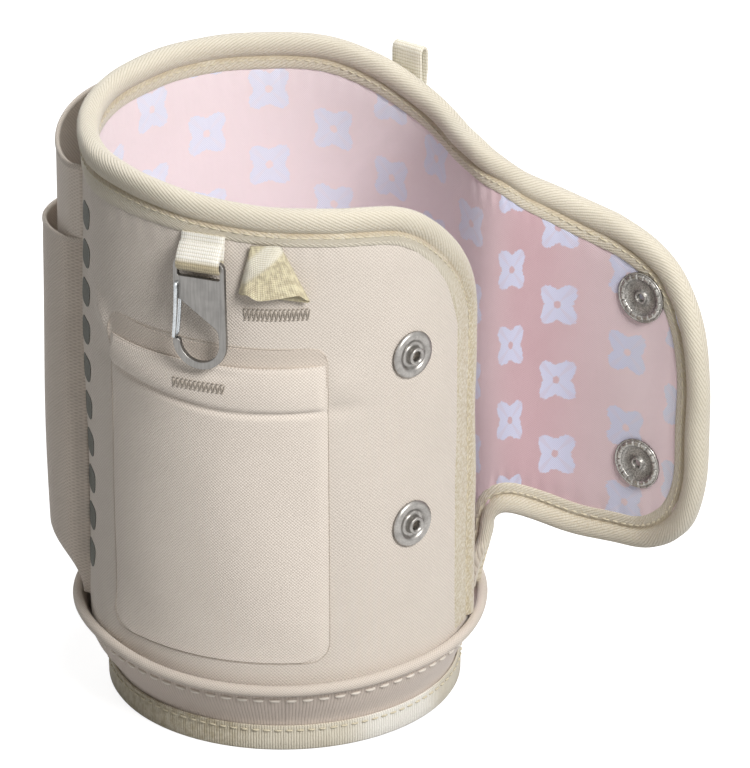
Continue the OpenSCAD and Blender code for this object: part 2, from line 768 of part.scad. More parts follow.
module clip_outline() {
    slot_top = clip_bar_h - clip_bar_r;
    eye_r = ring_r - clip_rail_w;
    difference() {
        union() {
            translate([-clip_w / 2, ring_h])
                square([clip_w, clip_top - ring_h]);
            translate([0, ring_h])
                circle(r = ring_r);
        }
        translate([-webbing_w / 2 - 0.6, slot_top - slot_h])
            square([webbing_w + 1.2, slot_h]);
        translate([0, ring_h])
            circle(r = eye_r);
        polygon([[-eye_r, ring_h], [eye_r, ring_h], [eye_r, ring_h + 4.5],
            [-eye_r, gate_gap_h]]);
        polygon([[-clip_w / 2 - 1, nose_h], [-eye_r + 0.1, nose_h], [-eye_r + 0.1, gate_gap_h],
            [-clip_w / 2 - 1, gate_gap_h]]);
        translate([pivot_x, pivot_h])
            circle(r = gate_wire_r + 0.08);
    }
}

module clip_frame() {
    color("#8f9396")
        on_canvas(clip_a)
            translate([0, -clip_bar_n + clip_t / 2, 0])
                rotate([90, 0, 0])
                    linear_extrude(clip_t)
                        clip_outline();
}

module wire(from, to) {
    way = to - from;
    translate(from)
        rotate([0, acos(way[2] / norm(way)), atan2(way[1], way[0])])
            cylinder(r = gate_wire_r, h = norm(way), $fn = 24);
}

module clip_gate() {
    leg_y = clip_t / 2 + 0.1 + gate_wire_r;
    foot_h = nose_h + gate_wire_r + 0.1;
    color("#b5b9bb")
        on_canvas(clip_a)
            translate([pivot_x, -clip_bar_n, 0])
                union() {
                    wire([0, -leg_y, pivot_h], [0, leg_y, pivot_h]);
                    wire([0, -leg_y, foot_h], [0, leg_y, foot_h]);
                    for (side = [-leg_y, leg_y]) {
                        wire([0, side, foot_h], [0, side, pivot_h]);
                        translate([0, side, foot_h])
                            sphere(r = gate_wire_r, $fn = 24);
                        translate([0, side, pivot_h])
                            sphere(r = gate_wire_r, $fn = 24);
                    }
                }
}

outer_shell();
foam_layer();
lining();
rim_binding();
end_binding();
collar_band();
collar_piping();
hem_binding();
hem_elastic();
front_pocket_panel();
front_pocket_hem();
front_pocket_tack();
phone_pocket_panel();
phone_pocket_binding();
card_pocket_panel();
card_pocket_binding();
strap_loop_front();
strap_tack_front();
strap_loop_back();
strap_tack_back();
snap_studs();
snap_stud_backs();
flap_outer();
flap_foam();
flap_lining();
flap_binding();
snap_sockets();
socket_springs();
snap_caps();
clip_webbing();
clip_frame();
clip_gate();
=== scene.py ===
import math
import bmesh
import bpy
import numpy as np
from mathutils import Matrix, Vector


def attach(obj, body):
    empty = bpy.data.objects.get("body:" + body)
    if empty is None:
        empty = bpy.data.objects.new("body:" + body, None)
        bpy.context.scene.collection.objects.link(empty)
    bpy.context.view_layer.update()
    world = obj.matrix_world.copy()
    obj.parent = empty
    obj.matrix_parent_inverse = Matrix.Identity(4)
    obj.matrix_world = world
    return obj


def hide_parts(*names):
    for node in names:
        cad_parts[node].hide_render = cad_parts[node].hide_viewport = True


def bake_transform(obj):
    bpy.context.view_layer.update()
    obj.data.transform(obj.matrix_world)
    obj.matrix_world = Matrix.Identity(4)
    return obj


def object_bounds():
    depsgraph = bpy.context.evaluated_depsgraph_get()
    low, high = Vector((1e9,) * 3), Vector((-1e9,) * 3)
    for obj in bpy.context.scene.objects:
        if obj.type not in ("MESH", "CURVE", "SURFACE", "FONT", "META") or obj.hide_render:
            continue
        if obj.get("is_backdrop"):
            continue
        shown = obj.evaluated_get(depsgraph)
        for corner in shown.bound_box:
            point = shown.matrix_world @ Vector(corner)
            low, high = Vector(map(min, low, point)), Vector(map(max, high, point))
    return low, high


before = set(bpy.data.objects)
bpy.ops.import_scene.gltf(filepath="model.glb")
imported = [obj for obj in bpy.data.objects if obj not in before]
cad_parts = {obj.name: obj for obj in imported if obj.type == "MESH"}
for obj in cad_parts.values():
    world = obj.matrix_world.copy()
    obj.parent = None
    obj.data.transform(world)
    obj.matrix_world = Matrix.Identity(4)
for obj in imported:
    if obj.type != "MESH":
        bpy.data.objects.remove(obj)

cad_low, cad_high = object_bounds()
scene = bpy.context.scene

# ---- sizes, in millimetres, as in the part's source
MM, UV_SCALE = 0.001, 0.01             # UV_SCALE: what a millimetre of cloth is in its UVs
CAVITY_R, WALL_T = 50.2, 4.2
HALF = WALL_T / 2
MID_R, OUT_R = CAVITY_R + HALF, CAVITY_R + WALL_T
RIM_H, FRONT_DIP, BACK_RISE, BACK_FALL, FRONT_FALL = 166.0, 4.4, 4.5, 17.1, 9.5
EDGE_A, CORNER_A, CORNER_H = 74.0, 35.0, 29.0
WALL_LOW, TAPER_H, TAPER_IN = 10.0, 22.0, 6.4
TAPE_OUT, TAPE_IN, FLAP_TAPE = 10.4, 8.4, 8.0
FLAP_R, FLAP_OPEN, TIP_A, RAMP_A = 59.1, 103.0, 18.5, 18.0
ROOT_H, TOP_FALL, SLOPE_L = 153.4, 21.3, 58.6
LOW_ROOT, LOW_TIP, CORNER_L, CORNER_TOP, CORNER_LOW = 48.0, 40.0, 26.0, 42.0, 30.0
FLAP_L = math.radians(90 - TIP_A) * FLAP_R
HEM_IN, HEM_OUT, HEM_H = 42.5, 49.8, 7.5
PIPING_R, PIPING_H = 1.3, 23.7
PIPING_MID = OUT_R + 0.2 + 0.6 + 0.3 + PIPING_R
SNAP_A, SNAP_H, SNAP_PITCH = 39.5, 66.0, 50.5
CLIP_A, LOOP_A, BACK_LOOP_A = -22.0, -3.0, 141.0
CLIP_BAR_H, CLIP_N = 148.35, 3.5
SEAM_S = -math.radians(90) * MID_R          # where the wall's pieces meet, at the back
EDGE_S = -math.radians(270 + EDGE_A) * MID_R
SNAPS = (SNAP_H, SNAP_H + SNAP_PITCH)
FILLET = 7.0
CROTCH = LOW_ROOT - FILLET                  # where the flap's lower edge runs into the wall's end
BEND_FROM, BEND_TO = -19.0, 42.0            # the fabric's bend at the hinge


def smooth(t):
    t = np.clip(t, 0, 1)
    return t * t * (3 - 2 * t)


def gauss(x, w):
    return np.exp(-(x / w) ** 2)


def unit(v):
    """A vector, or the rows of an array, at length one."""
    return v / np.linalg.norm(v, axis=-1, keepdims=True)


def arc_length(path):
    """Distance along a polyline at each of its points."""
    return np.concatenate([[0], np.cumsum(np.linalg.norm(np.diff(path, axis=0), axis=1))])


def stack(*columns):
    """Points as rows, from their coordinates."""
    return np.stack(np.broadcast_arrays(*columns), -1)


def polar(r, a, *z):
    """Points at radius r and angle a in degrees, counted from the front, -Y, towards +X."""
    return stack(r * np.sin(np.radians(a)), -r * np.cos(np.radians(a)), *z)


def turn(count):
    """Angles evenly round a circle."""
    return np.linspace(0, 2 * math.pi, count, endpoint=False)


def arc(x, y, rx, angles, ry=None):
    """Points of a circle's or an ellipse's arc."""
    return [(x + rx * math.cos(g), y + (ry or rx) * math.sin(g)) for g in angles]


def spaced(start, *spans):
    """Numbers from start on; each span gives where it ends and how many it takes, both its ends counted."""
    out = [start]
    for end, count in spans:
        out += list(np.linspace(out[-1], end, count)[1:])
    return np.array(out)


def opened(p):
    """Turns points of the closed flap open about the fold line, in plan or in space."""
    c, d = math.cos(math.radians(FLAP_OPEN)), math.sin(math.radians(FLAP_OPEN))
    x, y = p[..., 0] - MID_R, p[..., 1]
    return np.concatenate([stack(MID_R + x * c - y * d, x * d + y * c), p[..., 2:]], -1)


def angle_at(s):
    return -270 - np.degrees(s / MID_R)


def s_at(a):
    return -np.radians(a + 270) * MID_R


def rim_at(a):
    a = np.asarray(a, float)
    plain = (RIM_H - FRONT_DIP * smooth((a + 55) / 65) - FRONT_FALL * (np.maximum(a, 0) / 60) ** 2
             + BACK_RISE * smooth((-a - 70) / 80) - BACK_FALL * smooth((-a - 185) / 85))
    u = np.clip((a - CORNER_A) / (EDGE_A - CORNER_A), 0, 1)
    return plain - CORNER_H * (1 - (1 - u ** 1.5) ** (1 / 1.5))


def tape_width(s, z=200.0):
    """Width of the rim's tape on the outside: narrower round the front, wider down the free edge."""
    return (TAPE_OUT - 2.0 * smooth((s_at(-60) - s) / (s_at(-60) - s_at(-8)))
            + 4.4 * smooth((150 - z) / 34) * (s < s_at(40)))


def corner_drop(s):
    u = np.clip((s - FLAP_L + CORNER_L) / CORNER_L, 0, 1)
    return 1 - np.sqrt(np.maximum(0, 1 - u * u))


def top_at(s):
    """Upper edge of the wall and the flap, with a soft step at the hinge."""
    s = np.asarray(s, float)
    wall = rim_at(angle_at(np.minimum(s, 0)))
    flap = ROOT_H - TOP_FALL * smooth(s / SLOPE_L) - CORNER_TOP * corner_drop(s)
    return np.where(s <= 0, wall, flap) + 2.0 * gauss(s + 10, 11) - 1.5 * gauss(s - 17, 13)


def low_at(s):
    """Lower edge of the flap, rounded where it leaves the wall."""
    s = np.asarray(s, float)
    low = LOW_ROOT - (LOW_ROOT - LOW_TIP) * smooth((s - 6) / 34) + CORNER_LOW * corner_drop(s)
    c = np.clip(s, 0, FILLET)
    return np.where(s < FILLET, low - FILLET + np.sqrt(np.maximum(0, FILLET ** 2 - (FILLET - c) ** 2)), low)


# ---- plan of the sleeve: the middle of the padded wall, flap open
S_FINE = np.arange(EDGE_S - 8, FLAP_L + 8, 0.25)


def raw_plan(s):
    """The middle of the wall, a circle, and of the opened flap, before the fabric's bend."""
    deg = 90 - np.degrees(s / FLAP_R)
    r = MID_R + (FLAP_R - MID_R) * smooth((90 - deg) / RAMP_A)
    return np.where(s[:, None] <= 0, polar(MID_R, angle_at(s)), opened(polar(r, deg)))


def outward(plan):
    way = unit(np.gradient(plan, axis=0))
    return stack(-way[:, 1], way[:, 0])


plain_xy = raw_plan(S_FINE)
b = raw_plan(np.array([BEND_FROM - 0.2, BEND_FROM, BEND_TO, BEND_TO + 0.2]))
pull = 0.7 * np.linalg.norm(b[2] - b[1])
controls = b[1], b[1] + unit(b[1] - b[0]) * pull, b[2] - unit(b[3] - b[2]) * pull, b[2]
s_fine = S_FINE[:, None]
t = (s_fine - BEND_FROM) / (BEND_TO - BEND_FROM)
curve = sum(p * math.comb(3, k) * t ** k * (1 - t) ** (3 - k) for k, p in enumerate(controls))
xy = np.where((s_fine > BEND_FROM) & (s_fine < BEND_TO), curve, plain_xy)
OUT, PLAIN_OUT = outward(xy), outward(plain_xy)

POCKET_LEFT_S, POCKET_RIGHT_S = s_at(-58.0), s_at(13.0)
MOUTH_H, WINDOW_TOP, WINDOW_LOW = 118.0, 123.6, 29.5


def softness(s, z):
    """How far the soft wall strays from its plan, outwards."""
    n = (0.32 * np.sin(s / 21.0 + 1.1) * np.sin(z / 27.0 + 0.5) + 0.20 * np.sin(s / 9.5 + z / 15.0)
         + 0.14 * np.sin(s / 6.1 - z / 11.0 + 2.0))
    for h in SNAPS:
        for at in (s_at(SNAP_A), math.radians(90 - SNAP_A) * FLAP_R):
            n = n * (1 - 0.9 * gauss(np.hypot(s - at, z - h), 13))
    n = n * smooth((z - 27) / 16) + 1.3 * gauss(s - s_at(-66), 12) * gauss(z - 27, 12)
    right, left = POCKET_RIGHT_S - s, s - POCKET_LEFT_S          # distance past the pocket's sides
    fade = smooth((right + 1.5) / 3) * (1 - smooth((right - 3) / 9))
    n = n + fade * (0.75 * gauss(z - 112.5, 5.0) - 0.8 * gauss(z - 104.6, 1.5))
    fade = smooth((left + 1.0) / 2) * (1 - smooth((left - 3) / 9))
    return n + fade * (1.3 * gauss(z - 119 - left * 0.9, 3.6) - 0.6 * gauss(z - 110, 2.2))


def place(s, n, z):
    """A point of the sleeve: s along the wall from the fold line, n outwards, z up."""
    s, n, z = np.broadcast_arrays(np.asarray(s, float), np.asarray(n, float), np.asarray(z, float))
    bent = smooth((z - 25) / 16)        # the collar keeps the wall's foot round
    px, py, ox, oy = (np.interp(s, S_FINE, a[:, k]) * bent + np.interp(s, S_FINE, b[:, k]) * (1 - bent)
                      for a, b in ((xy, plain_xy), (OUT, PLAIN_OUT)) for k in (0, 1))
    m = n - TAPER_IN * np.clip((TAPER_H - z) / (TAPER_H - WALL_LOW), 0, 1) + softness(s, z)
    return stack(px + ox * m, py + oy * m, z)


# ---- meshes
def add_object(name, data):
    o = bpy.data.objects.new(name, data)
    scene.collection.objects.link(o)
    return o


def make(name, points, faces, uvs=None):
    """A mesh object from points in millimetres; uvs are one (u, v) in millimetres for each face corner."""
    mesh = bpy.data.meshes.new(name)
    mesh.from_pydata((np.asarray(points, float) * MM).tolist(), [], [list(map(int, f)) for f in faces])
    if uvs is not None:
        layer = mesh.uv_layers.new(name="cloth")
        layer.data.foreach_set("uv", (np.asarray(uvs, np.float32) * UV_SCALE).ravel())
    mesh.shade_smooth()
    mesh.update()
    return add_object(name, mesh)


def finish_mesh(o, material, body=None, slot=None):
    o.data.materials.clear()
    o.data.materials.append(material)
    if body:
        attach(o, body)
    return o


def fix_normals(o, merge=False):
    """Turns the faces outwards; merge joins points that coincide, as on a turned part's axis, and keeps all smooth."""
    bm = bmesh.new()
    bm.from_mesh(o.data)
    if merge:
        bmesh.ops.remove_doubles(bm, verts=bm.verts, dist=1e-7)
        bmesh.ops.dissolve_degenerate(bm, dist=1e-8, edges=bm.edges)
    bmesh.ops.recalc_face_normals(bm, faces=bm.faces)
    bm.to_mesh(o.data)
    bm.free()
    if not merge:
        o.data.set_sharp_from_angle(angle=math.radians(55))
    return o


def slab(name, face, back, u, v, mask=None):
    """Closed solid between two grids of points; where mask is false a cell is left out."""
    m, n = face.shape[:2]
    mask = np.ones((m - 1, n - 1), bool) if mask is None else mask
    ids, off = np.arange(m * n).reshape(m, n), m * n
    i, j = np.nonzero(mask)
    a, b, c, d = ids[i, j], ids[i + 1, j], ids[i + 1, j + 1], ids[i, j + 1]
    faces = [stack(a, b, c, d), stack(a, d, c, b) + off]
    cells = np.pad(mask, 1)
    for grid, near in ((ids, cells), (ids.T, cells.T)):
        i, j = np.nonzero(near[:-1, 1:-1] != near[1:, 1:-1])        # edges with a cell on one side only
        p, q = grid[i, j], grid[i, j + 1]
        faces.append(stack(p, q, q + off, p + off))
    faces = np.concatenate(faces)
    used, new = np.unique(faces, return_inverse=True)
    points = np.concatenate([face.reshape(-1, 3), back.reshape(-1, 3)])
    uv = np.tile(stack(u, v).reshape(-1, 2), (2, 1))
    return fix_normals(make(name, points[used], new.reshape(faces.shape), uv[faces].reshape(-1, 2)))


def ring_faces(m, n, closed=True):
    """Quads between m rings of n points each."""
    return [[i * n + j, ((i + 1) % m) * n + j, ((i + 1) % m) * n + (j + 1) % n, i * n + (j + 1) % n]
            for i in range(m if closed else m - 1) for j in range(n)]


def sweep(name, rings, u, v, closed=False):
    """Tube through rings of points, closed on itself or capped; u runs along the rings, v round them."""
    rings = np.asarray(rings, float)
    m, n = rings.shape[:2]
    u, v = (np.append(x, 2 * x[-1] - x[-2]) for x in (u, v))
    points, faces = rings.reshape(-1, 3), ring_faces(m, n, closed)
    uvs = [p for i in range(m if closed else m - 1) for j in range(n)
           for p in ((u[i], v[j]), (u[i + 1], v[j]), (u[i + 1], v[j + 1]), (u[i], v[j + 1]))]
    for ring in () if closed else (0, m - 1):
        faces += [[len(points), ring * n + j, ring * n + (j + 1) % n] for j in range(n)]
        uvs += [(u[ring], v[j]) for j in range(n) for _ in range(3)]
        points = np.concatenate([points, rings[ring].mean(0)[None]])
    return fix_normals(make(name, points, faces, uvs))


def lathe(profile, steps, shape=None):
    """Rings of a part turned about Z; profile is a closed list of (r, z), and shape may change both with the angle."""
    a = turn(steps)[:, None]
    r, z = np.array(profile, float).T[:, None]
    if shape:
        r, z = shape(a, r, z)
    return stack(r * np.cos(a), r * np.sin(a), z)


def on_wall(p, a, r, z=0.0):
    """Points (along the wall, up, out) set on the wall at angle a, radius r and height z."""
    return np.asarray(p, float) @ np.stack([polar(1, a + 90, 0), (0, 0, 1), polar(1, a, 0)]) + polar(r, a, z)


def join(name, parts):
    """One mesh object from several (points, faces, uvs or None) groups."""
    points, faces, uvs, at = [], [], [], 0
    for p, f, uv in parts:
        p = np.asarray(p, float).reshape(-1, 3)
        points.append(p)
        faces += [[int(i) + at for i in g] for g in f]
        uvs += [(0.0, 0.0)] * sum(map(len, f)) if uv is None else list(uv)
        at += len(p)
    return make(name, np.concatenate(points), faces, uvs)


def capsule(p, q, out, r, lift=0.0):
    """A stitch from p to q, bowed outwards; 6 sided, pointed ends."""
    length, d = np.linalg.norm(q - p), unit(q - p)
    side = unit(np.cross(d, out))
    up = np.cross(side, d)
    pts = [p - up * r * 0.5]
    for t, k in ((0.12, 0.75), (0.4, 1.0), (0.6, 1.0), (0.88, 0.75)):
        c = p + d * length * t + up * (lift * math.sin(math.pi * t))
        pts += [c + side * x + up * y for x, y in arc(0, 0, r * k * 1.15, turn(6), r * k)]
    pts.append(q - up * r * 0.5)
    faces = [[0, 1 + (g + 1) % 6, 1 + g] for g in range(6)]
    for b in (1, 7, 13):
        faces += [[b + g, b + (g + 1) % 6, b + 6 + (g + 1) % 6, b + 6 + g] for g in range(6)]
    faces += [[25, 19 + g, 19 + (g + 1) % 6] for g in range(6)]
    return np.array(pts), faces, None


# ---- materials
def colour(code):
    """A hex code as linear RGBA."""
    c = [int(code[i:i + 2], 16) / 255 for i in (1, 3, 5)]
    return [x / 12.92 if x <= 0.04045 else ((x + 0.055) / 1.055) ** 2.4 for x in c] + [1.0]


class Value:
    """A number in a node tree; arithmetic with it adds Math nodes."""

    def __init__(self, nodes, socket):
        self.nodes, self.socket = nodes, socket

    def f(self, op, *others):
        return self.nodes.math(op, self, *others)

    def __add__(self, x):
        return self.f("ADD", x)

    def __sub__(self, x):
        return self.f("SUBTRACT", x)

    def __mul__(self, x):
        return self.f("MULTIPLY", x)

    def __abs__(self):
        return self.f("ABSOLUTE")


class Nodes:
    """Short ways to add nodes to a tree."""

    def __init__(self, tree):
        self.tree = tree

    def add(self, kind, inputs=None, **props):
        node = self.tree.nodes.new(kind)
        for k, v in props.items():
            setattr(node, k, v)
        for k, v in (inputs or {}).items():
            self.put(node.inputs[k], v)
        return node

    def put(self, socket, v):
        """Links a node's output to the socket, or sets it to a number or a hex colour."""
        v = v.socket if isinstance(v, Value) else v
        if isinstance(v, bpy.types.NodeSocket):
            self.tree.links.new(v, socket)
        else:
            socket.default_value = colour(v) if isinstance(v, str) else v

    def math(self, op, *values):
        return Value(self, self.add("ShaderNodeMath", dict(enumerate(values)), operation=op).outputs[0])

    def background_rays(self):
        """1 for the rays that show the background, 0 for those that light the object."""
        path = self.add("ShaderNodeLightPath").outputs
        seen = self.math("MAXIMUM", path["Is Camera Ray"], path["Is Glossy Ray"])
        return seen.f("MAXIMUM", path["Is Transmission Ray"])


class Shade(Nodes):
    """A node material with short ways to add what cloth and metal need."""

    def __init__(self, name, base, rough, metallic=0.0, sheen=0.0, specular=0.5):
        self.material = bpy.data.materials.new(name)
        self.material.use_nodes = True
        super().__init__(self.material.node_tree)
        self.bsdf = next(n for n in self.tree.nodes if n.type == "BSDF_PRINCIPLED")
        self.surface(base, rough)
        for k, v in (("Metallic", metallic), ("Specular IOR Level", specular), ("Sheen Weight", sheen),
                     ("Sheen Roughness", 0.5)):
            self.put(self.bsdf.inputs[k], v)

    def surface(self, base, rough):
        self.put(self.bsdf.inputs["Base Color"], base)
        self.put(self.bsdf.inputs["Roughness"], rough)

    def mix(self, fac, a, b):
        return self.add("ShaderNodeMix", {"Factor": fac, 6: a, 7: b}, data_type="RGBA").outputs[2]

    def step(self, x, low, high, to_low=0.0, to_high=1.0):
        return Value(self, self.add("ShaderNodeMapRange", {"Value": x, "From Min": low, "From Max": high,
                                                           "To Min": to_low, "To Max": to_high},
                                    interpolation_type="SMOOTHSTEP").outputs[0])

    def vector(self, op, vector, other, socket=1):
        return self.add("ShaderNodeVectorMath", {0: vector, socket: other}, operation=op).outputs[0]

    def split(self, vector):
        return [Value(self, x) for x in self.add("ShaderNodeSeparateXYZ", {0: vector}).outputs]

    def cloth(self):
        """The cloth's own (u, v) in millimetres, as a vector and as two values."""
        uv = self.vector("SCALE", self.add("ShaderNodeUVMap", uv_map="cloth").outputs[0], 1 / UV_SCALE, "Scale")
        return uv, *self.split(uv)[:2]

    def space(self):
        """The place in the object's own space, in millimetres."""
        return self.vector("SCALE", self.add("ShaderNodeTexCoord").outputs["Object"], 1 / MM, "Scale")

    def noise(self, vector, scale, detail=2.0, rough=0.5):
        return Value(self, self.add("ShaderNodeTexNoise", {"Vector": vector, "Scale": scale, "Detail": detail,
                                                           "Roughness": rough}).outputs[0])

    def wave(self, x, pitch, power=None):
        """0 to 1 to 0 over each pitch of x."""
        y = abs((x * (math.pi / pitch)).f("SINE"))
        return y.f("POWER", power) if power else y

    def bump(self, height, depth):
        """height runs from 0 to 1; depth is what that is worth, in millimetres."""
        node = self.add("ShaderNodeBump", {"Strength": 1.0, "Distance": depth * MM, "Height": height})
        self.put(self.bsdf.inputs["Normal"], node.outputs[0])


def woven(name, light, dark, pitch, depth, kind="dots", mottling=0.25, sheen=0.25, rough=0.85, fuzz=0.35, extra=None):
    """A cloth with its weave in the colour and in the bump. kind is dots, twill, ribs or webbing."""
    s = Shade(name, light, rough, sheen=sheen, specular=0.25)
    uv, u, v = s.cloth()
    shift = s.noise(uv, 0.9) * (pitch * 0.35) + pitch * -0.17
    u1, v1 = u + shift, v + shift
    if kind == "dots":
        a, b = ((x * (2 * math.pi / pitch)).f("SINE") for x in (u1, v1))
        h = a * b * 0.5 + 0.5
    elif kind == "twill":
        across = abs(v1)
        h = s.wave(across * 0.88 + u1 * 0.47, pitch, 0.8) * (s.wave(across * -0.35 + u1, pitch * 0.6) * 0.35 + 0.65)
    elif kind == "ribs":
        h = s.wave(u1, pitch, 0.6) * (s.wave(v1, pitch * 0.5) * 0.22 + 0.78)
    else:
        h = (s.wave(u1, pitch) * 0.6 + 0.4) * (s.wave(v1 + pitch * 0.3, pitch * 0.62) * 0.6 + 0.4)
    threads = s.noise(uv, 3.1, 3.0, 0.6)
    h = threads * fuzz + h
    c = s.mix(s.step(h, 0.15, 0.95), dark, light)
    blot = s.step(s.noise(uv, 0.09, 3.0, 0.55), 0.35, 0.75)
    c = s.mix(blot * mottling, c, s.mix(0.5, c, dark))
    if extra:
        c = extra(s, uv, u, c, h, v)
    s.surface(c, s.step(threads, 0.3, 0.7, rough - 0.06, min(1.0, rough + 0.06)))
    s.bump(h, depth)
    return s.material


def flowers(s, uv, u, c, h, v):
    """Four-petalled blooms in a half-drop layout, printed a little unevenly, with painted light and shade over them:
    paler on the wall's inside, deepest just past the fold, paler again towards the flap's tip, and the blooms darker on
    the flap.
    """
    pitch_u, pitch_v = 19.0, 23.0
    odd = abs((u * (1 / pitch_u)).f("FLOOR").f("MODULO", 2.0))
    x, y = (((at * (1 / pitch)).f("FRACT") - 0.5) * pitch
            for at, pitch in ((u, pitch_u), (odd * (pitch_v / 2) + v + 5.0, pitch_v)))
    r = (x * x + y * y).f("SQRT")
    angle = y.f("ARCTAN2", x)
    petals = (angle * 4.0 + math.pi).f("COSINE") * 1.4 + 6.2
    ragged = s.noise(uv, 0.9, 3.0, 0.7) * 2.4 - 1.2
    vein = s.step(abs((angle * 2.0).f("SINE")), 0.93, 1.0)
    bloom = s.step(petals - r + ragged, -0.15, 0.35) * s.step(r + ragged * 0.5, 0.9, 1.35) * (vein * -0.18 + 0.95)
    # Painted light and shade: the ground is paler on the wall's inside and far out on the flap, and the deeper pink
    # just past the fold is painted shade.
    pale = s.mix(0.75, c, "#fdf1f4")
    c = s.mix(s.step(u, -20.0, 14.0) * s.step(u, 56.0, 20.0, 0.25, 1.0), pale, c)
    # Painted light: paler still towards the flap's tip.
    c = s.mix(s.step(u, 42.0, 68.0, 0.0, 0.85), c, "#ffe8ee")
    weave = s.step(h, 0.2, 1.0)
    # Painted shade: the blooms are darker on the flap.
    flap_shade_mask = s.step(u, -12.0, 8.0) * s.step(u, 64.0, 40.0)
    return s.mix(bloom, c, s.mix(flap_shade_mask, s.mix(weave, "#d8dbf0", "#edeffc"), s.mix(weave, "#c3c6e0", "#d6d9ef")))


def groove(s, uv, u, c, h, v):
    """The tape is browner down in its groove, which is painted shade, and along its stitches, and worn at the wall's
    free edge.
    """
    d = abs(abs(v) - 8.9)                   # across the tape, from the middle of its groove
    # painted shade: brown down in the groove between the roll and the band
    groove_shade = s.step(d, 1.3, 0.1) * s.step(s.noise(uv, 0.12), 0.3, 0.6, 0.2, 0.6)
    fleck = s.step(s.noise(uv, 1.3, 3.0, 0.7), 0.42, 0.7) * s.step(d, 5.0, 2.0, 0.12, 0.5)
    wear = s.step(s.noise(uv, 1.1, 3.0, 0.7), 0.42, 0.6) * s.step(u, -222.0, -244.0, 0.0, 0.6)
    for fac, tone in ((groove_shade, "#b8a688"), (fleck, "#bba983"), (wear, "#b3a27a")):
        c = s.mix(fac, c, tone)
    return c


def ribbon_lit_patch_and_brown(s, uv, u, c, h, v):
    """The hem's ribbon is paler in one place at the front's right, which is painted light, and browner to its left."""
    # painted light: a paler patch on the front's right
    pale = s.step(abs(u - 38.0), 22.0, 8.0) * 0.85
    c = s.mix(pale, c, s.mix(s.step(h, 0.1, 0.9), "#e0ddd0", "#fdfbf4"))
    patchy = s.step(s.noise(uv, 0.5, 3.0, 0.6), 0.35, 0.65, 0.2, 0.7)
    return s.mix(s.step(u, 245.0, 290.0) * s.step(u, 338.0, 316.0) * patchy, c, "#a89a78")


def clip_fold_painted_shade(s, uv, u, c, h, v):
    """The clip's webbing is golden brown in the fold that holds the clip: painted shade."""
    # painted shade: golden brown below the clip's bar
    below = s.step(s.split(s.space())[2], 150.4, 148.9)
    return s.mix(below * 0.75, c, s.mix(s.step(h, 0.2, 0.9), "#7d6a40", "#b5a373"))


def loop_fold_painted_shade(s, uv, u, c, h, v):
    """Bright along the front loop's diagonal fold and golden beside it; the gold is painted shade."""
    x, _, z = s.split(s.space())
    beside = s.step(abs((x + 9.1) * -0.634 + (z - 147.3) * 0.773), 1.4, 2.8)
    # painted shade: gold beside the fold
    return s.mix(beside * 0.6, c, s.mix(s.step(s.noise(uv, 0.5, 3.0), 0.35, 0.65), "#a3905a", "#dfd3a5"))


canvas = woven("canvas", "#e4dbd1", "#cbc1b6", 0.98, 0.12)
knit = woven("knit", "#f1e8de", "#d2c7bb", 0.9, 0.10, fuzz=0.22)
pocket_canvas = woven("pocket canvas", "#ddd2c6", "#c3b7ab", 1.0, 0.10)
# Painted light: a lighter copy of the pocket canvas for the phone pocket, which stands in shade.
phone_canvas_painted_light = woven("phone pocket canvas painted light", "#efe5da", "#d9cec2", 1.0, 0.10)
seam_cloth = woven("pocket seam", "#d2c7ba", "#b5a99c", 0.5, 0.05)
collar_fabric = woven("collar fabric", "#dccfc4", "#c2b4a8", 0.95, 0.10, "ribs", mottling=0.15)
piping_fabric = woven("piping fabric", "#ddd3c8", "#bfb4a8", 0.8, 0.07, mottling=0.1)
twill = woven("twill tape", "#dfd8c8", "#c4bba6", 0.8, 0.14, "twill", mottling=0.3, sheen=0.35, extra=groove)
ribbon = woven("grosgrain ribbon", "#e6e0cf", "#b5a88f", 0.82, 0.20, "ribs", mottling=0.5, extra=ribbon_lit_patch_and_brown)
webbing, clip_webbing, loop_webbing = (
    woven(name, light, dark, 0.95, depth, "webbing", sheen=0.2, rough=rough, extra=extra)
    for name, light, dark, depth, rough, extra in (
        ("webbing", "#f4f0e2", "#c6bb98", 0.16, 0.42, None),
        ("clip webbing", "#fbf9f2", "#d6cfb6", 0.16, 0.42, clip_fold_painted_shade),
        ("loop webbing", "#f4f0e2", "#d2c8a6", 0.15, 0.36, loop_fold_painted_shade)))
print_cloth = woven("printed lining", "#d0b3b9", "#bd979e", 0.62, 0.06, mottling=0.45, sheen=0.3, extra=flowers)
olive = woven("olive print", "#3c3e31", "#2c2e24", 1.15, 0.10, mottling=0.3, rough=0.7)
thread_cream, thread_pale, thread_grey = (
    woven(name + " thread", light, dark, 0.35, 0.05, "ribs", fuzz=0.2) for name, light, dark in
    (("cream", "#f3ecdb", "#d8cfb6"), ("pale", "#fffaf4", "#efe7dc"), ("grey", "#c2bab0", "#a39a8f")))


def plain_cloth(name, light, dark):
    """For solids that came without cloth coordinates."""
    s = Shade(name, light, 0.9, sheen=0.2, specular=0.2)
    n = s.noise(s.space(), 1.6, 3.0, 0.6)
    s.surface(s.mix(s.step(n, 0.3, 0.7), dark, light), 0.9)
    s.bump(n, 0.12)
    return s.material


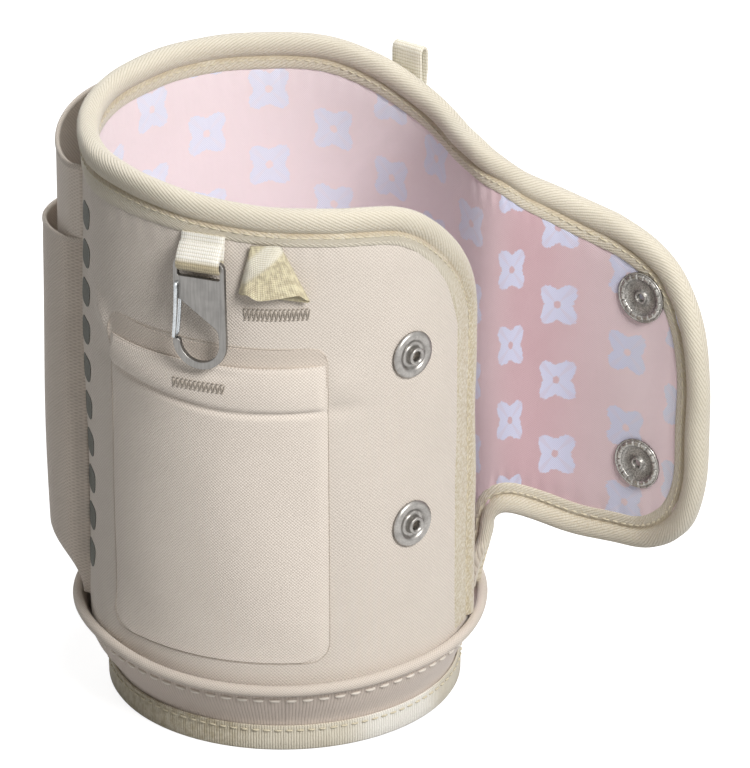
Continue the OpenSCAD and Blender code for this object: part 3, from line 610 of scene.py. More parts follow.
def metal(name, base, dark, rough, speckle=0.5, grain=None, depth=0.02):
    """A metal with fine speckles, or brushed where grain stretches them, and broad dull patches."""
    s = Shade(name, base, rough, metallic=1.0)
    at = s.space()
    broad = s.noise(at, 0.35)
    fine = s.noise(s.vector("MULTIPLY", at, grain), 1.0, 4.0, 0.6) if grain else s.noise(at, 2.6, 4.0, 0.65)
    c = s.mix(s.step(fine, 0.35, 0.7) * speckle, base, dark)
    s.surface(s.mix(s.step(broad, 0.4, 0.7) * 0.35, c, dark), s.step(fine, 0.3, 0.75, rough, min(1.0, rough + 0.18)))
    s.bump(fine, depth)
    return s.material


elastic_core = plain_cloth("elastic core", "#f5f2ec", "#d5d0c6")
nickel = metal("antique nickel", "#a9a6a2", "#5d5a57", 0.3, 0.3)
nickel_dark = metal("dark nickel", "#a5a29d", "#4a4845", 0.4, 0.8, depth=0.05)
nickel_rim = metal("worn nickel rim", "#b0ada8", "#4a4845", 0.24, 0.5)
steel = metal("brushed steel", "#8f8d8a", "#767472", 0.38, 0.5, grain=(2.5, 2.5, 0.12), depth=0.012)
wire_steel = metal("spring wire", "#c3c7ca", "#94989b", 0.22, 0.4)

# ---- the padded wall and flap
def half_at(edge_d):
    """Half thickness, drawn in where the tape is stitched down."""
    return HALF * (0.74 + 0.26 * smooth((edge_d - 5.0) / 9.0))


def pucker(edge_d, s, tape):
    """Small gathers beside the tape's stitches."""
    return 0.16 * np.sin(2 * math.pi * s / 5.3 + 1.7 * np.sin(s / 13.0)) * gauss(edge_d - tape - 2.0, 3.0)


def columns(s0, s1, step):
    return np.linspace(s0, s1, max(2, int(round(abs(s1 - s0) / step)) + 1))


def tip_distance(s, z):
    return np.minimum(np.minimum(top_at(s) - z, z - low_at(s)), FLAP_L - s)


def wall_layers(prefix, s_list):
    """Outer and inner halves of the wall from s_list; the flap's part stops above its lower edge."""
    low_rows = spaced(WALL_LOW, (TAPER_H, 8), (CROTCH, 14))[:-1]
    bottom = np.where(s_list > 0, low_at(s_list), CROTCH)[:, None]
    upper = bottom + (top_at(s_list)[:, None] - bottom) * np.linspace(0, 1, 76)
    z = np.concatenate([np.broadcast_to(low_rows, (len(s_list), len(low_rows))), upper], 1)
    s = np.broadcast_to(s_list[:, None], z.shape)
    edge = np.where(s > 0, tip_distance(s, z),
                    np.minimum(np.minimum(top_at(s) - z, s - EDGE_S), np.where(z < CROTCH + 2, -s, 99)))
    edge = np.where((s <= 0) & (z >= CROTCH + 2), np.minimum(edge, np.hypot(np.maximum(-s, 0), z - CROTCH) + 2), edge)
    half = half_at(np.maximum(edge, 0))
    mask = np.ones((len(s_list) - 1, z.shape[1] - 1), bool)
    mask[s_list[1:] > 1e-6, :len(low_rows)] = False
    mid = place(s, 0.0, z)
    outer = place(s, half + pucker(edge, s, np.where(s > 0, FLAP_TAPE, tape_width(s))), z)
    inner = place(s, -half - pucker(edge, s + 1.1, np.where(s > 0, FLAP_TAPE, TAPE_IN)), z)
    return [finish_mesh(slab(prefix + side, face, mid, s, z, mask), cloth, slot=slot)
            for side, face, cloth, slot in (("_outside", outer, canvas, "canvas"),
                                            ("_inside", inner, print_cloth, "lining"))]


flap_s = np.concatenate([columns(SEAM_S, -16, 1.45)[:-1], columns(-16, 0, 1.0), columns(0, 8, 0.8)[1:],
                         columns(8, FLAP_L - 12, 1.4)[1:],
                         FLAP_L - 12 * (1 - np.sin(np.linspace(0, math.pi / 2, 14)))[1:]])
wall_outside, wall_inside = wall_layers("wall", columns(EDGE_S, SEAM_S, 1.45))
flap_outside, flap_inside = wall_layers("flap", flap_s)
for o in (wall_outside, wall_inside):
    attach(o, "wrap")
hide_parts("outer_shell", "foam_layer")
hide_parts("lining")
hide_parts("flap_outer", "flap_foam")
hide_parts("flap_lining")


# ---- binding tape
def resample(path, step, count=None):
    """Even spacing along a polyline, and the distance along it; count points, or as many as step asks for."""
    path = np.asarray(path, float)
    d = arc_length(path)
    u = np.linspace(0, d[-1], count) if count else columns(0, d[-1], step)
    return stack(*(np.interp(u, d, x) for x in path.T)), u


def smoothed(path, rounds=2):
    p = path.copy()
    for _ in range(rounds):
        p[1:-1] = 0.25 * p[:-2] + 0.5 * p[1:-1] + 0.25 * p[2:]
    return p


LOW_END = PIPING_H + PIPING_R + 0.6
top_s = columns(SEAM_S, EDGE_S, 1.0)
rim_path = np.concatenate([stack(top_s, top_at(top_s)),
                           stack(EDGE_S, np.linspace(float(top_at(EDGE_S)) - 0.5, LOW_END, 60))])
flap_top_s = np.concatenate([columns(SEAM_S, FLAP_L - 20, 1.0),
                             FLAP_L - 20 * (1 - np.sin(np.linspace(0.05, math.pi / 2, 24)))])
flap_low_s = flap_top_s[flap_top_s > 8][::-1]
flap_path = np.concatenate([stack(flap_top_s, top_at(flap_top_s)), stack(flap_low_s, low_at(flap_low_s)),
                            arc(FILLET, CROTCH, FILLET, np.linspace(math.pi / 2, math.pi, 14)),
                            stack(0, np.linspace(CROTCH - 0.8, LOW_END, 20))])
FOLD_POINT = 13                             # the point of the tape's section that lies on its fold
STITCH_IN, STITCH_OUT = 5.75, 2.27          # the tape's stitches: in from the edge, and out from the wall's middle


def tape_section(out_w, in_w):
    """(n, w) round the folded tape: n across the wall, w inwards from the edge. It starts at the outside's raw edge."""
    def side(w, sign):
        return [(sign * n, at) for n, at in (
            (1.95, w), (2.2, w - 0.3), (2.28, w - 1.2), (2.24, 6.0), (2.1, 5.25), (1.64, 4.75), (1.95, 4.3),
            (2.55, 3.7), (2.95, 2.9), (3.1, 1.9), (3.05, 0.9), (2.6, -0.35), (1.75, -1.15))]
    hidden = [(-1.35, in_w - 0.2), (-1.35, 1.2), (1.35, 1.2), (1.35, out_w - 0.2)]
    return np.array(side(out_w, 1) + [(0, -1.5)] + side(in_w, -1)[::-1] + hidden)


def tape(name, path, out_w, sign):
    """Tape folded over the edge that path follows; sign is 1 where the cloth lies on the path's left."""
    path, u = resample(path, 1.7)
    path = smoothed(path)
    inward = outward(path) * sign
    widths = out_w(path[:, 0], path[:, 1])
    rings = []
    for p, way, width, at in zip(path, inward, widths, u):
        n, w = tape_section(width, TAPE_IN).T
        n = n * (1 + 0.035 * math.sin(at / 5.2 + 0.4))
        w = w + 0.6 * (0.10 * math.sin(at / 3.1) + 0.08 * math.sin(at / 7.7 + 1))
        rings.append(place(p[0] + way[0] * w, n, p[1] + way[1] * w))
    v = arc_length(tape_section(np.mean(widths), TAPE_IN))
    cloth = finish_mesh(sweep(name, rings, -u * sign, v - v[FOLD_POINT]), twill, slot="twill_tape")
    line = (path + inward * STITCH_IN).T
    stitches = []
    for at in np.arange(1.6, u[-1] - 3, 2.9):
        ends = [[np.interp(x, u, row) for row in line] for x in (at, at + 2.15)]
        for side in (1, -1):
            p, q = (place(s, side * STITCH_OUT, z) for s, z in ends)
            stitches.append(capsule(p, q, place(ends[0][0], side * 4.0, ends[0][1]) - p, 0.2, 0.06))
    return cloth, finish_mesh(join(name + "_stitches", stitches), thread_cream, slot="twill_tape")


rim_tape, rim_stitches = tape("rim_tape", rim_path, tape_width, 1)
for o in (rim_tape, rim_stitches):
    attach(o, "wrap")
flap_tape, flap_stitches = tape("flap_tape", flap_path,
                                lambda s, z: TAPE_OUT + (FLAP_TAPE - TAPE_OUT) * smooth((s + 8) / 24), -1)
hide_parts("rim_binding")
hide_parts("flap_binding", "end_binding")

# ---- collar and hem
ring_a = np.linspace(0, 360, 200, endpoint=False)
CLOTH_R = 54.0                              # the radius that the cloth's u is measured at


def collar_wave(a):
    t = np.radians(a)
    return 0.5 * np.sin(2 * t + 0.6) + 0.35 * np.sin(3 * t + 2.0) + 0.18 * np.sin(7 * t)


def collar_lift(a):
    return 0.9 * np.cos(2 * np.radians(a) + math.pi) + 0.25 * np.sin(5 * np.radians(a))


def collar_lean(a):
    """The collar stands out a little on the left and lies closer on the right."""
    side = np.sin(np.radians(a))
    return 1.6 * np.maximum(0, -side) ** 1.5 - 0.6 * np.maximum(0, side) ** 2


def revolve(name, profile, material, slot, wavy=0.0, fade=(HEM_H, PIPING_H)):
    """A ring from a closed profile of (r, z); wavy lets the collar's soft waves grow from the hem to the piping."""
    r, z = np.array(profile, float).T
    grow = smooth((z - fade[0]) / (fade[1] - fade[0]))
    lean = smooth((z - HEM_H) / 7)
    rings = [polar(r + wavy * (grow * collar_wave(a) + lean * collar_lean(a)), a, z + wavy * grow * collar_lift(a))
             for a in ring_a]
    o = sweep(name, rings, np.radians(ring_a) * CLOTH_R, arc_length(profile), closed=True)
    return finish_mesh(o, material, "wrap", slot)


band = [(48.7, 6.6), (48.9, 8.2), (49.8, 10.0), (51.0, 12.0), (52.3, 14.2), (53.6, 16.6), (54.7, 19.0), (55.3, 20.9),
        (55.6, 21.9), (55.9, 22.6), (55.2, 23.2), (54.9, 22.9), (54.4, 21.6), (53.6, 19.4), (52.5, 16.8), (51.6, 14.6),
        (50.8, 12.6), (49.8, 10.6), (48.2, 9.2), (47.3, 8.6), (47.1, 6.6)]
collar_cloth = revolve("collar_cloth", band, collar_fabric, "collar_fabric", 1.0)
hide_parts("collar_band")
roll = arc(PIPING_MID - 0.1, PIPING_H - 0.2, PIPING_R + 0.2, turn(20), PIPING_R + 0.25)
piping = revolve("collar_roll", roll, piping_fabric, "collar_fabric", 1.0, (HEM_H, PIPING_H - 2))
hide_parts("collar_piping")
hem_profile = ([(HEM_IN + r, z) for r, z in ((0, 0.55), (0.35, 0.12), (1.1, 0.0))]
               + [(HEM_OUT + r, z) for r, z in (
                   (-1.2, 0.0), (-0.35, 0.15), (0, 0.7), (0.05, 3.0), (0, 5.0), (-0.15, 6.0), (0, 6.7), (-0.1, HEM_H),
                   (-0.6, HEM_H + 0.1), (-0.8, HEM_H - 0.1), (-0.8, 0.9))]
               + [(HEM_IN + r, z) for r, z in (
                   (0.8, 0.9), (0.8, HEM_H - 0.1), (0.5, HEM_H), (0.05, HEM_H - 0.2), (0, 4.0))])
hem_ribbon = revolve("hem_ribbon", hem_profile, ribbon, "ribbon")
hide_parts("hem_binding")


def ring_stitches(name, r, z, length, pitch, thread, size, wavy=0.0, tilt=0.0):
    """A line of stitches round the foot, with the collar's waves; tilt turns them to face down."""
    turned = math.degrees(length / r)
    parts = []
    for a0 in np.linspace(0, 360, int(round(2 * math.pi * r / pitch)), endpoint=False):
        p, q = (polar(r + wavy * collar_wave(a) + (wavy > 0) * collar_lean(a), a, z + wavy * collar_lift(a))
                for a in (a0, a0 + turned))
        parts.append(capsule(p, q, polar(math.cos(tilt), a0, -math.sin(tilt)), size, 0.12))
    finish_mesh(join(name, parts), thread, "wrap", "ribbon")


TOPSTITCH_H = 19.4
# The collar's thread is pale, and drawn near white as painted light, since these stitches lie in the piping's shade.
ring_stitches("collar_topstitch", 54.95, TOPSTITCH_H, 3.3, 4.5, thread_pale, 0.46,
              float(smooth((TOPSTITCH_H - HEM_H) / (PIPING_H - HEM_H))), 0.5)
ring_stitches("hem_topstitch", HEM_OUT + 0.12, 6.35, 2.2, 3.1, thread_cream, 0.24)

# ---- front pocket
ON = HALF + 0.06                            # just clear of the canvas
HEM_CLEAR = 0.32                            # the panel's edge over that


def corner_inset(z, r, low, top):
    """How far a rounded rectangle's sides draw in near its lower and upper corners."""
    d = np.minimum(z - low, top - z)
    return np.where(d < r, r - np.sqrt(np.maximum(0, r * r - (r - np.maximum(d, 0)) ** 2)), 0)


def front_grid(z_rows, inset, cols=88):
    """A grid over the pocket as (s, z, t); t runs from 0 at its left side to 1 at its right."""
    even = np.linspace(0, 1, cols)
    t, z = np.meshgrid(0.35 * (0.5 - 0.5 * np.cos(math.pi * even)) + 0.65 * even, z_rows, indexing="ij")
    left, right = POCKET_LEFT_S - inset, POCKET_RIGHT_S + inset
    return left + (right - left) * t, z, t


def crease_at(s):
    """Height of the pocket hem's lower edge, higher on the left."""
    return 105.2 + 4.5 * smooth((s - s_at(-10)) / (s_at(-58) - s_at(-10)))


def swell_at(t):
    return np.sin(math.pi * t) ** 0.6


def hem_puff(s, z, t):
    """How far the hem's roll stands out over the panel, most at its left."""
    crease = crease_at(s)
    up = np.clip((z - crease) / (MOUTH_H - crease), 0, 1)
    full = 0.55 + 0.75 * smooth((0.55 - t) / 0.5) + 0.3 * np.sin(math.pi * t)
    return 1.25 * full * np.sin(math.pi * up ** 0.8) ** 0.55


rows = spaced(29.9, (36, 12), (100, 44), (MOUTH_H + 0.3, 62))
s, z, t = front_grid(rows, corner_inset(rows, 6.0, WINDOW_LOW + 0.3, 400))
side = smooth(np.minimum(t, 1 - t) / 0.05)
swell = swell_at(t) * smooth((z - WINDOW_LOW) / 34)
crease = crease_at(s)
n = ON + HEM_CLEAR + 0.75 * swell + side * hem_puff(s, z, t)
n = n - side * 0.6 * gauss(z - crease + 0.5, 1.1) * (0.6 + 0.6 * swell)
n = n + side * 0.10 * np.sin(s / 4.3 + 0.6 * np.sin(z / 19.0)) * smooth((z - 45) / 40) * (z < crease)
n = n - 0.45 * side * gauss(z - 99 + 6 * (0.35 - t), 6.0) * smooth((0.45 - t) / 0.3) - 0.35 * (1 - side)
clip_near = gauss(t - 0.5, 0.16) * smooth((z - 114.0) / 3)       # the clip's ring lies here
n = n - clip_near * np.maximum(0, n - (HALF + 1.35))
back_n = np.minimum(n - 0.5, ON + 0.02 + 0.5 * swell)
pocket_panel = finish_mesh(slab("pocket_panel", place(s, n, z), place(s, back_n, z), s, z), knit, "wrap", "knit")
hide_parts("front_pocket_panel", "front_pocket_hem")

rows = np.linspace(112.0, WINDOW_TOP, 22)
s, z, t = front_grid(rows, corner_inset(rows, 5.0, -400, WINDOW_TOP), 60)
z = z + 1.6 * smooth((0.35 - t) / 0.35) * smooth((z - 112) / 8)
mouth = place(s, HALF + 0.22 - 0.12 * gauss(z - MOUTH_H - 2.5, 1.8), z)
finish_mesh(slab("pocket_mouth", mouth, place(s, HALF - 0.4, z), s, z), pocket_canvas, "wrap", "pocket_canvas")


def wire_ring(name, points, r, material, slot, body, sides, normals=None):
    """A closed loop of round wire or thread through points."""
    way = unit(np.roll(points, -1, 0) - np.roll(points, 1, 0))
    if normals is None:
        last = np.cross(way[0], (0.0, 0.0, 1.0) if abs(way[0][2]) < 0.8 else (1.0, 0.0, 0.0))
        normals = np.empty_like(way)
        for k, w in enumerate(way):
            normals[k] = last = unit(last - w * (last @ w))
    g = turn(sides)[None, :, None]
    rings = points[:, None] + r * (normals[:, None] * np.cos(g) + np.cross(way, normals)[:, None] * np.sin(g))
    o = sweep(name, rings, arc_length(points), np.linspace(0, 2 * math.pi * r, sides), closed=True)
    return finish_mesh(o, material, body, slot)


r = 5.5
corners = ((POCKET_LEFT_S - r, WINDOW_LOW + r, 270), (POCKET_LEFT_S - r, WINDOW_TOP + 1.6 - r, 0),
           (POCKET_RIGHT_S + r, WINDOW_TOP - r, 90), (POCKET_RIGHT_S + r, WINDOW_LOW + r, 180))
seam = [p for at, h, g in corners for p in arc(at, h, r, np.radians(np.linspace(g, g + 90, 9)))]
seam = resample(seam + seam[:1], 1.6)[0][:-1].T
seam_points = place(seam[0], HALF + 0.10, seam[1])
wire_ring("pocket_seam", seam_points, 0.12, seam_cloth, "pocket_canvas", "wrap", 8,
          unit(place(seam[0], HALF + 2.0, seam[1]) - seam_points))


def tack(name, a, z, width, height, n_of, strokes):
    """A zigzag bar tack with a line of stitches above and below it."""
    at = float(s_at(a)) - np.linspace(-width / 2, width / 2, strokes)
    low, high = z - height / 2, z + height / 2
    parts = []

    def stitch(k, h0, s1, n1, h1):
        out = place(at[k], 9.0, z) - place(at[k], 0.0, z)
        parts.append(capsule(place(at[k], n_of(at[k], h0), h0), place(s1, n1, h1), out, 0.19, 0.08))

    for k in range(strokes - 1):
        h0, h1 = (low, high) if k % 2 else (high, low)
        stitch(k, h0 + 0.15 * math.sin(k * 2.3), at[k + 1], n_of(at[k + 1], h1), h1)
    for h in (low, high):
        for k in range(0, strokes - 1, 2):
            stitch(k, h, at[min(k + 2, strokes - 1)] + 0.3, n_of(at[k], h), h + 0.1)
    return finish_mesh(join(name, parts), thread_grey, "wrap", "grey_thread")


def hem_face(s, z):
    """How far out the hem's face lies, for the tack that is sewn on it."""
    t = np.clip((s - POCKET_LEFT_S) / (POCKET_RIGHT_S - POCKET_LEFT_S), 0, 1)
    return ON + HEM_CLEAR + 0.05 + 0.75 * swell_at(t) + hem_puff(s, z, t)


def wall_face(s, z):
    return HALF + 0.1


BACK_RIM_H = float(rim_at(BACK_LOOP_A - 360))
pocket_tack = tack("pocket_tack", -23.5, 112.2, 14.0, 2.4, hem_face, 25)
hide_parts("front_pocket_tack")
loop_tack = tack("front_loop_tack", -1.5, 133.8, 17.0, 3.1, wall_face, 31)
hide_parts("strap_tack_front")
back_tack = tack("back_loop_tack", BACK_LOOP_A - 360, BACK_RIM_H - TAPE_OUT - 6.0, 11.0, 2.3, wall_face, 15)
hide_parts("strap_tack_back")

# ---- back pockets
BACK_L, BACK_R, BACK_LOW = -180.0, -84.0, 26.3
PHONE_TOP, CARD_TOP, POCKET_T = 156.2, 134.6, 0.9


def bulge(a, z, rise=15.0):
    t = np.clip((a - BACK_L) / (BACK_R - BACK_L), 0, 1)
    return np.maximum(0, np.sin(math.pi * t)) ** 0.6 * smooth((z - BACK_LOW) / rise)


def back_pocket(name, top, radius_of, material, sag, sink):
    """A pocket that stands off the wall, its panel's edge, and the way across that edge."""
    a = (BACK_L + BACK_R) / 2 + (BACK_R - BACK_L) / 2 * np.sin(np.linspace(-math.pi / 2, math.pi / 2, 90))
    a, z = np.meshgrid(a, spaced(BACK_LOW, (BACK_LOW + 18, 16), (top - 6, 30), (top, 8)), indexing="ij")
    dip = sag * np.sin(math.pi * (a - BACK_L) / (BACK_R - BACK_L)) ** 2 * smooth((z - top + 22) / 22)
    soft = 0.3 * np.sin(a / 7.0 + z / 30.0) * bulge(a, z) * smooth((top - z + 4) / 12)
    r = radius_of(a, z) + soft - sink * (1 - smooth(np.minimum(a - BACK_L, BACK_R - a) / 2.5))
    outer, inner = polar(r + POCKET_T, a, z - dip), polar(r, a, z - dip)
    o = finish_mesh(slab(name, outer, inner, -np.radians(a) * OUT_R, z), material, "wrap", "pocket_canvas")
    return o, (outer[:, -1] + inner[:, -1]) / 2, unit(outer[:, -1] - inner[:, -1])


def bound_rim(name, edge, across, node):
    """Binding folded over a pocket's edge."""
    half = [(-0.6, -0.9), (-0.7, -0.3), (-0.64, 0.2), (-0.42, 0.52)]
    sec = half + [(0, 0.66)] + [(-x, y) for x, y in half[::-1]] + [(0.4, -0.9), (0.4, -0.2), (-0.4, -0.2), (-0.4, -0.9)]
    rings = [[p + x * d + (0, 0, y) for x, y in sec] for p, d in zip(edge, across)]
    o = sweep(name, rings[1:-1], arc_length(edge)[1:-1], arc_length(sec))
    finish_mesh(o, piping_fabric, "wrap", "pocket_canvas")
    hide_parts(node)
    return o


def phone_r(a, z):
    return OUT_R + 0.1 + 10.6 * bulge(a, z)


def card_r(a, z):
    return phone_r(a, z) + 1.0 + (4.6 + 1.3 * gauss(z - 68, 34)) * bulge(a, z)


phone, edge, across = back_pocket("phone_pocket", PHONE_TOP, phone_r, phone_canvas_painted_light, -4.6, 0.95)
phone_rim = bound_rim("phone_rim", edge, across, "phone_pocket_binding")
card, edge, across = back_pocket("card_pocket", CARD_TOP, card_r, pocket_canvas, 5.6, 1.95)
card_rim = bound_rim("card_rim", edge, across, "card_pocket_binding")
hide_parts("phone_pocket_panel")
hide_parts("card_pocket_panel")

# ---- olive marks in place of the lettering
marks = []
cos_g, sin_g = np.cos(turn(28)), np.sin(turn(28))
for k in range(10):
    x, y = 4.4 * np.sign(cos_g) * abs(cos_g) ** 0.6, 3.8 * np.sign(sin_g) * abs(sin_g) ** 0.6
    base = stack(float(s_at(-76.0 - 3.4 * (9 - k) / 9)) - x - y * 0.22, 38.0 + 11.5 * k + 3.8 + y)
    m, middle = len(base), base.mean(0)
    flat_at = np.concatenate([middle + (base - middle) * f for f in (1.0, 0.7, 0.4)] + [middle[None], base])
    tops = 3 * m + 1                        # the points on top: three rings and the middle
    ahead = [(i, (i + 1) % m) for i in range(m)]
    faces = [[j, i, tops + i, tops + j] for i, j in ahead] + [list(range(tops, tops + m))[::-1]]
    faces += [[b + i, b + j, b + m + j, b + m + i] for b in (0, m) for i, j in ahead]
    faces += [[2 * m + i, 2 * m + j, 3 * m] for i, j in ahead]
    points = place(flat_at[:, 0], np.where(np.arange(tops + m) < tops, HALF + 0.14, HALF - 0.25), flat_at[:, 1])
    marks.append((points, faces, [tuple(flat_at[i]) for f in faces for i in f]))
o = finish_mesh(fix_normals(join("olive_marks", marks)), olive, "wrap", "canvas")
o.data.shade_flat()


# ---- webbing
def strap(name, a, path, width, thick, body, node=None, cloth=webbing):
    """A flat webbing strip at angle a, along a path of (out, z); rounded selvedges."""
    side = polar(1, a + 90, 0)
    path = on_wall([(0, z, out) for out, z in path], a, OUT_R)
    path, u = resample(path, None, max(8, int(arc_length(path)[-1] / 0.8)))
    path = smoothed(path)
    normals = unit(np.cross(side, unit(np.gradient(path, axis=0))))
    upper = [(x * width, thick / 2 * (0.55 if abs(x) > 0.47 else 1.0)) for x in (-0.5, -0.46, -0.3, 0, 0.3, 0.46, 0.5)]
    sec = upper + [(x, -y) for x, y in upper[::-1]]
    rings = [[p + x * side + y * normal for x, y in sec] for p, normal in zip(path, normals)]
    o = finish_mesh(sweep(name, rings, u, arc_length(sec)), cloth, body, "webbing")
    if node:
        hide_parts(node)


bar_r = 1.85                                # the webbing's middle round the clip's bar
round_bar = arc(CLIP_N, CLIP_BAR_H, -bar_r, np.radians(np.linspace(-20, 200, 26)))
strap("clip_strap", CLIP_A, [(0.75, 153.2), (1.1, 151.8), (1.5, 150.3)] + round_bar
      + [(4.3, 150.6), (3.0, 152.3), (1.9, 153.5)], 12.2, 1.0, "clip_loop", "clip_webbing", clip_webbing)
strap("clip_strap_root", CLIP_A, [(0.3, 155.8), (0.65, 154.7), (1.2, 153.2), (1.3, 152.6)], 12.1, 1.5, "wrap",
      None, clip_webbing)
low, high = BACK_RIM_H - TAPE_OUT - 0.6, BACK_RIM_H + 7.5
strap("back_strap_loop", BACK_LOOP_A, [(0.75, low), (1.7, BACK_RIM_H - 6), (1.75, BACK_RIM_H)]
      + arc(3.1, high - 2.0, -1.4, np.linspace(0, math.pi, 16), 1.45)
      + [(4.5, BACK_RIM_H), (3.6, BACK_RIM_H - 6), (1.75, low)], 10.0, 1.0, "wrap", "strap_loop_back")

# the front loop: webbing folded to a triangle, flat on the canvas behind and open at its lower edge
LOOP_SIDES = (12, 6, 18, 6)          # points along the back, the right side, the front and the left side


def loop_section(h):
    """The loop's outline at height h, from 0 at its lower edge to 1 at the tape, as rows of (x, out, lift)."""
    corners = [(-9.1 + 3.7 * h, 0.55, 0.7), (11.0 - 8.2 * h, 0.55, -1.6),
               (8.2 - 5.8 * h, 4.0 - 3.2 * h, 1.0), (-6.6 + 1.5 * h, 3.7 - 2.9 * h, 2.0)]
    points = []
    for k, count in enumerate(LOOP_SIDES):
        p, q = np.array(corners[k]), np.array(corners[(k + 1) % 4])
        for f in np.arange(count) / count:
            x = p + (q - p) * f
            if k == 2:                      # the front, with its diagonal fold
                fold, dent = gauss(h - 0.70 + 0.5 * (f - 0.5), 0.15), gauss(h - 0.42 + 0.5 * (f - 0.5), 0.1)
                x[1] += math.sin(math.pi * f) ** 0.7 * (0.6 * (1 - 0.6 * h) + 1.3 * fold - 0.5 * dent)
                x[2] = 2.0 - 2.1 * f / 0.8 if f < 0.8 else -0.1 + 2.1 * (f - 0.8) / 0.2
            points.append(x)
    points = np.array(points)
    for _ in range(2):
        points = 0.25 * np.roll(points, 1, 0) + 0.5 * points + 0.25 * np.roll(points, -1, 0)
    return points


def loop_place(section, h):
    x, out, lift = section.T
    return on_wall(stack(x, 139.6 + 14.4 * h + (1 - h) * lift, out), LOOP_A, OUT_R)


heights = np.linspace(0, 1, 15)
outer, inner = [], []
for h in heights:
    section = loop_section(h)
    outer.append(loop_place(section, h))
    tangent = np.roll(section, -1, 0) - np.roll(section, 1, 0)
    thin = min(0.8, 0.3 * np.ptp(section[:, 1]))
    section[:, :2] += unit(stack(-tangent[:, 1], tangent[:, 0])) * thin
    inner.append(loop_place(section, h))
rings = np.array(outer + inner[::-1]).transpose(1, 0, 2)
front_loop = sweep("front_strap_loop", rings, np.linspace(0, 46, len(rings)),
                   np.concatenate([heights, 1 + heights]) * 17, closed=True)
finish_mesh(front_loop, loop_webbing, "wrap", "webbing")
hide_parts("strap_loop_front")


# ---- fasteners
def turned_pair(name, r, profile, material, slot, body, node=None, shape=None, steps=64):
    """One turned part at each snap, at radius r on the wall; the flap's are opened with it."""
    pts = lathe(profile, steps, shape)
    placed = [on_wall(pts, SNAP_A, r, h) for h in SNAPS]
    parts = [(opened(p) if body == "flap" else p, ring_faces(*pts.shape[:2]), None) for p in placed]
    o = finish_mesh(fix_normals(join(name, parts), merge=True), material, body, slot)
    if node:
        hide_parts(node)


def crimped(a, r, z):
    """The socket's rim, pressed in round its edge."""
    pressed = np.clip(np.cos(a * 18) * 4 - 2.9, 0, 1) * gauss(r - 6.1, 0.6)
    return r - 0.06 * pressed, z + 0.5 * pressed * (z < 0.6)


stud = [(1.15, -4.7), (2.0, -4.7), (2.0, -0.02), (6.35, -0.02), (6.6, 0.12), (6.68, 0.42), (6.5, 0.8), (6.1, 1.1),
        (5.5, 1.28), (4.9, 1.28), (4.4, 1.08), (4.0, 0.72), (3.75, 0.35), (3.5, 0.2), (2.95, 0.2), (2.6, 0.4),
        (2.42, 0.9), (2.36, 1.6), (2.5, 2.15), (2.45, 2.45), (2.2, 2.62), (1.85, 2.6), (1.55, 2.42), (1.35, 2.1),
        (1.22, 1.5), (1.15, 0.4)]
socket_rim = [(5.15, 0.5), (5.35, 0.3), (5.6, 0.1), (5.9, 0.0), (6.25, 0.0), (6.5, 0.1), (6.65, 0.42), (6.8, 0.52),
              (6.95, 0.36), (7.15, 0.26), (7.35, 0.5), (7.3, 0.95), (6.4, 1.0), (5.5, 1.0), (5.15, 0.9)]
dish = [(0.0, 1.9), (0.98, 1.88), (1.1, 0.5), (1.3, 0.2), (1.6, 0.15), (1.85, 0.35), (1.95, 0.9), (2.2, 1.1),
        (3.0, 1.12), (4.2, 1.08), (4.85, 0.9), (5.1, 0.62), (5.3, 0.55), (5.3, 2.6), (0.0, 2.6)]
cap = [(0.0, -0.3), (6.3, -0.02), (6.85, 0.1), (7.0, 0.4), (6.8, 0.8), (6.3, 1.05), (5.6, 1.1), (5.2, 1.0),
       (4.9, 1.15), (3.6, 1.5), (1.8, 1.68), (0.0, 1.72)]
LINING_R, SOCKET_R, SOCKET_T, CAP_R = 57.0, 7.35, 1.0, 61.25          # on the closed flap
FACE_R = math.sqrt(LINING_R ** 2 - SOCKET_R ** 2) - 0.05 - SOCKET_T
turned_pair("snap_stud_rings", OUT_R + 0.05, stud, nickel, "nickel", "wrap", "snap_studs")
turned_pair("snap_socket_rims", FACE_R, socket_rim, nickel_rim, "dark_nickel", "flap", "snap_sockets", crimped, 252)
turned_pair("snap_socket_dishes", FACE_R, dish, nickel_dark, "dark_nickel", "flap")
turned_pair("snap_cap_domes", CAP_R, cap, nickel, "nickel", "flap", "snap_caps")
for node, material in (("socket_springs", wire_steel), ("snap_stud_backs", nickel), ("hem_elastic", elastic_core)):
    finish_mesh(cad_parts[node], material)

# ---- clip
CLIP_TOP, TOP_X, RAIL = CLIP_BAR_H + 1.2, 7.05, 1.6
RING_R = 7.4
RING_H = CLIP_BAR_H - 29.9 + RING_R
EYE_R = RING_R - RAIL
NOSE_H, GAP_H = RING_H + 0.2, CLIP_BAR_H - 10.2
PIVOT_X, PIVOT_H = -6.15, CLIP_BAR_H - 5.8


def rounded(points, reach, steps=5):
    """A polygon with its corners rounded."""
    points = np.array(points, float)
    f = np.linspace(0, 1, steps + 1)[:, None]
    out = []
    for p, q, w in zip(np.roll(points, 1, 0), points, np.roll(points, -1, 0)):
        a, b = q + unit(p - q) * reach * (1 - f), q + unit(w - q) * reach * f
        out += (a * (1 - f) + b * f).tolist()
    return out


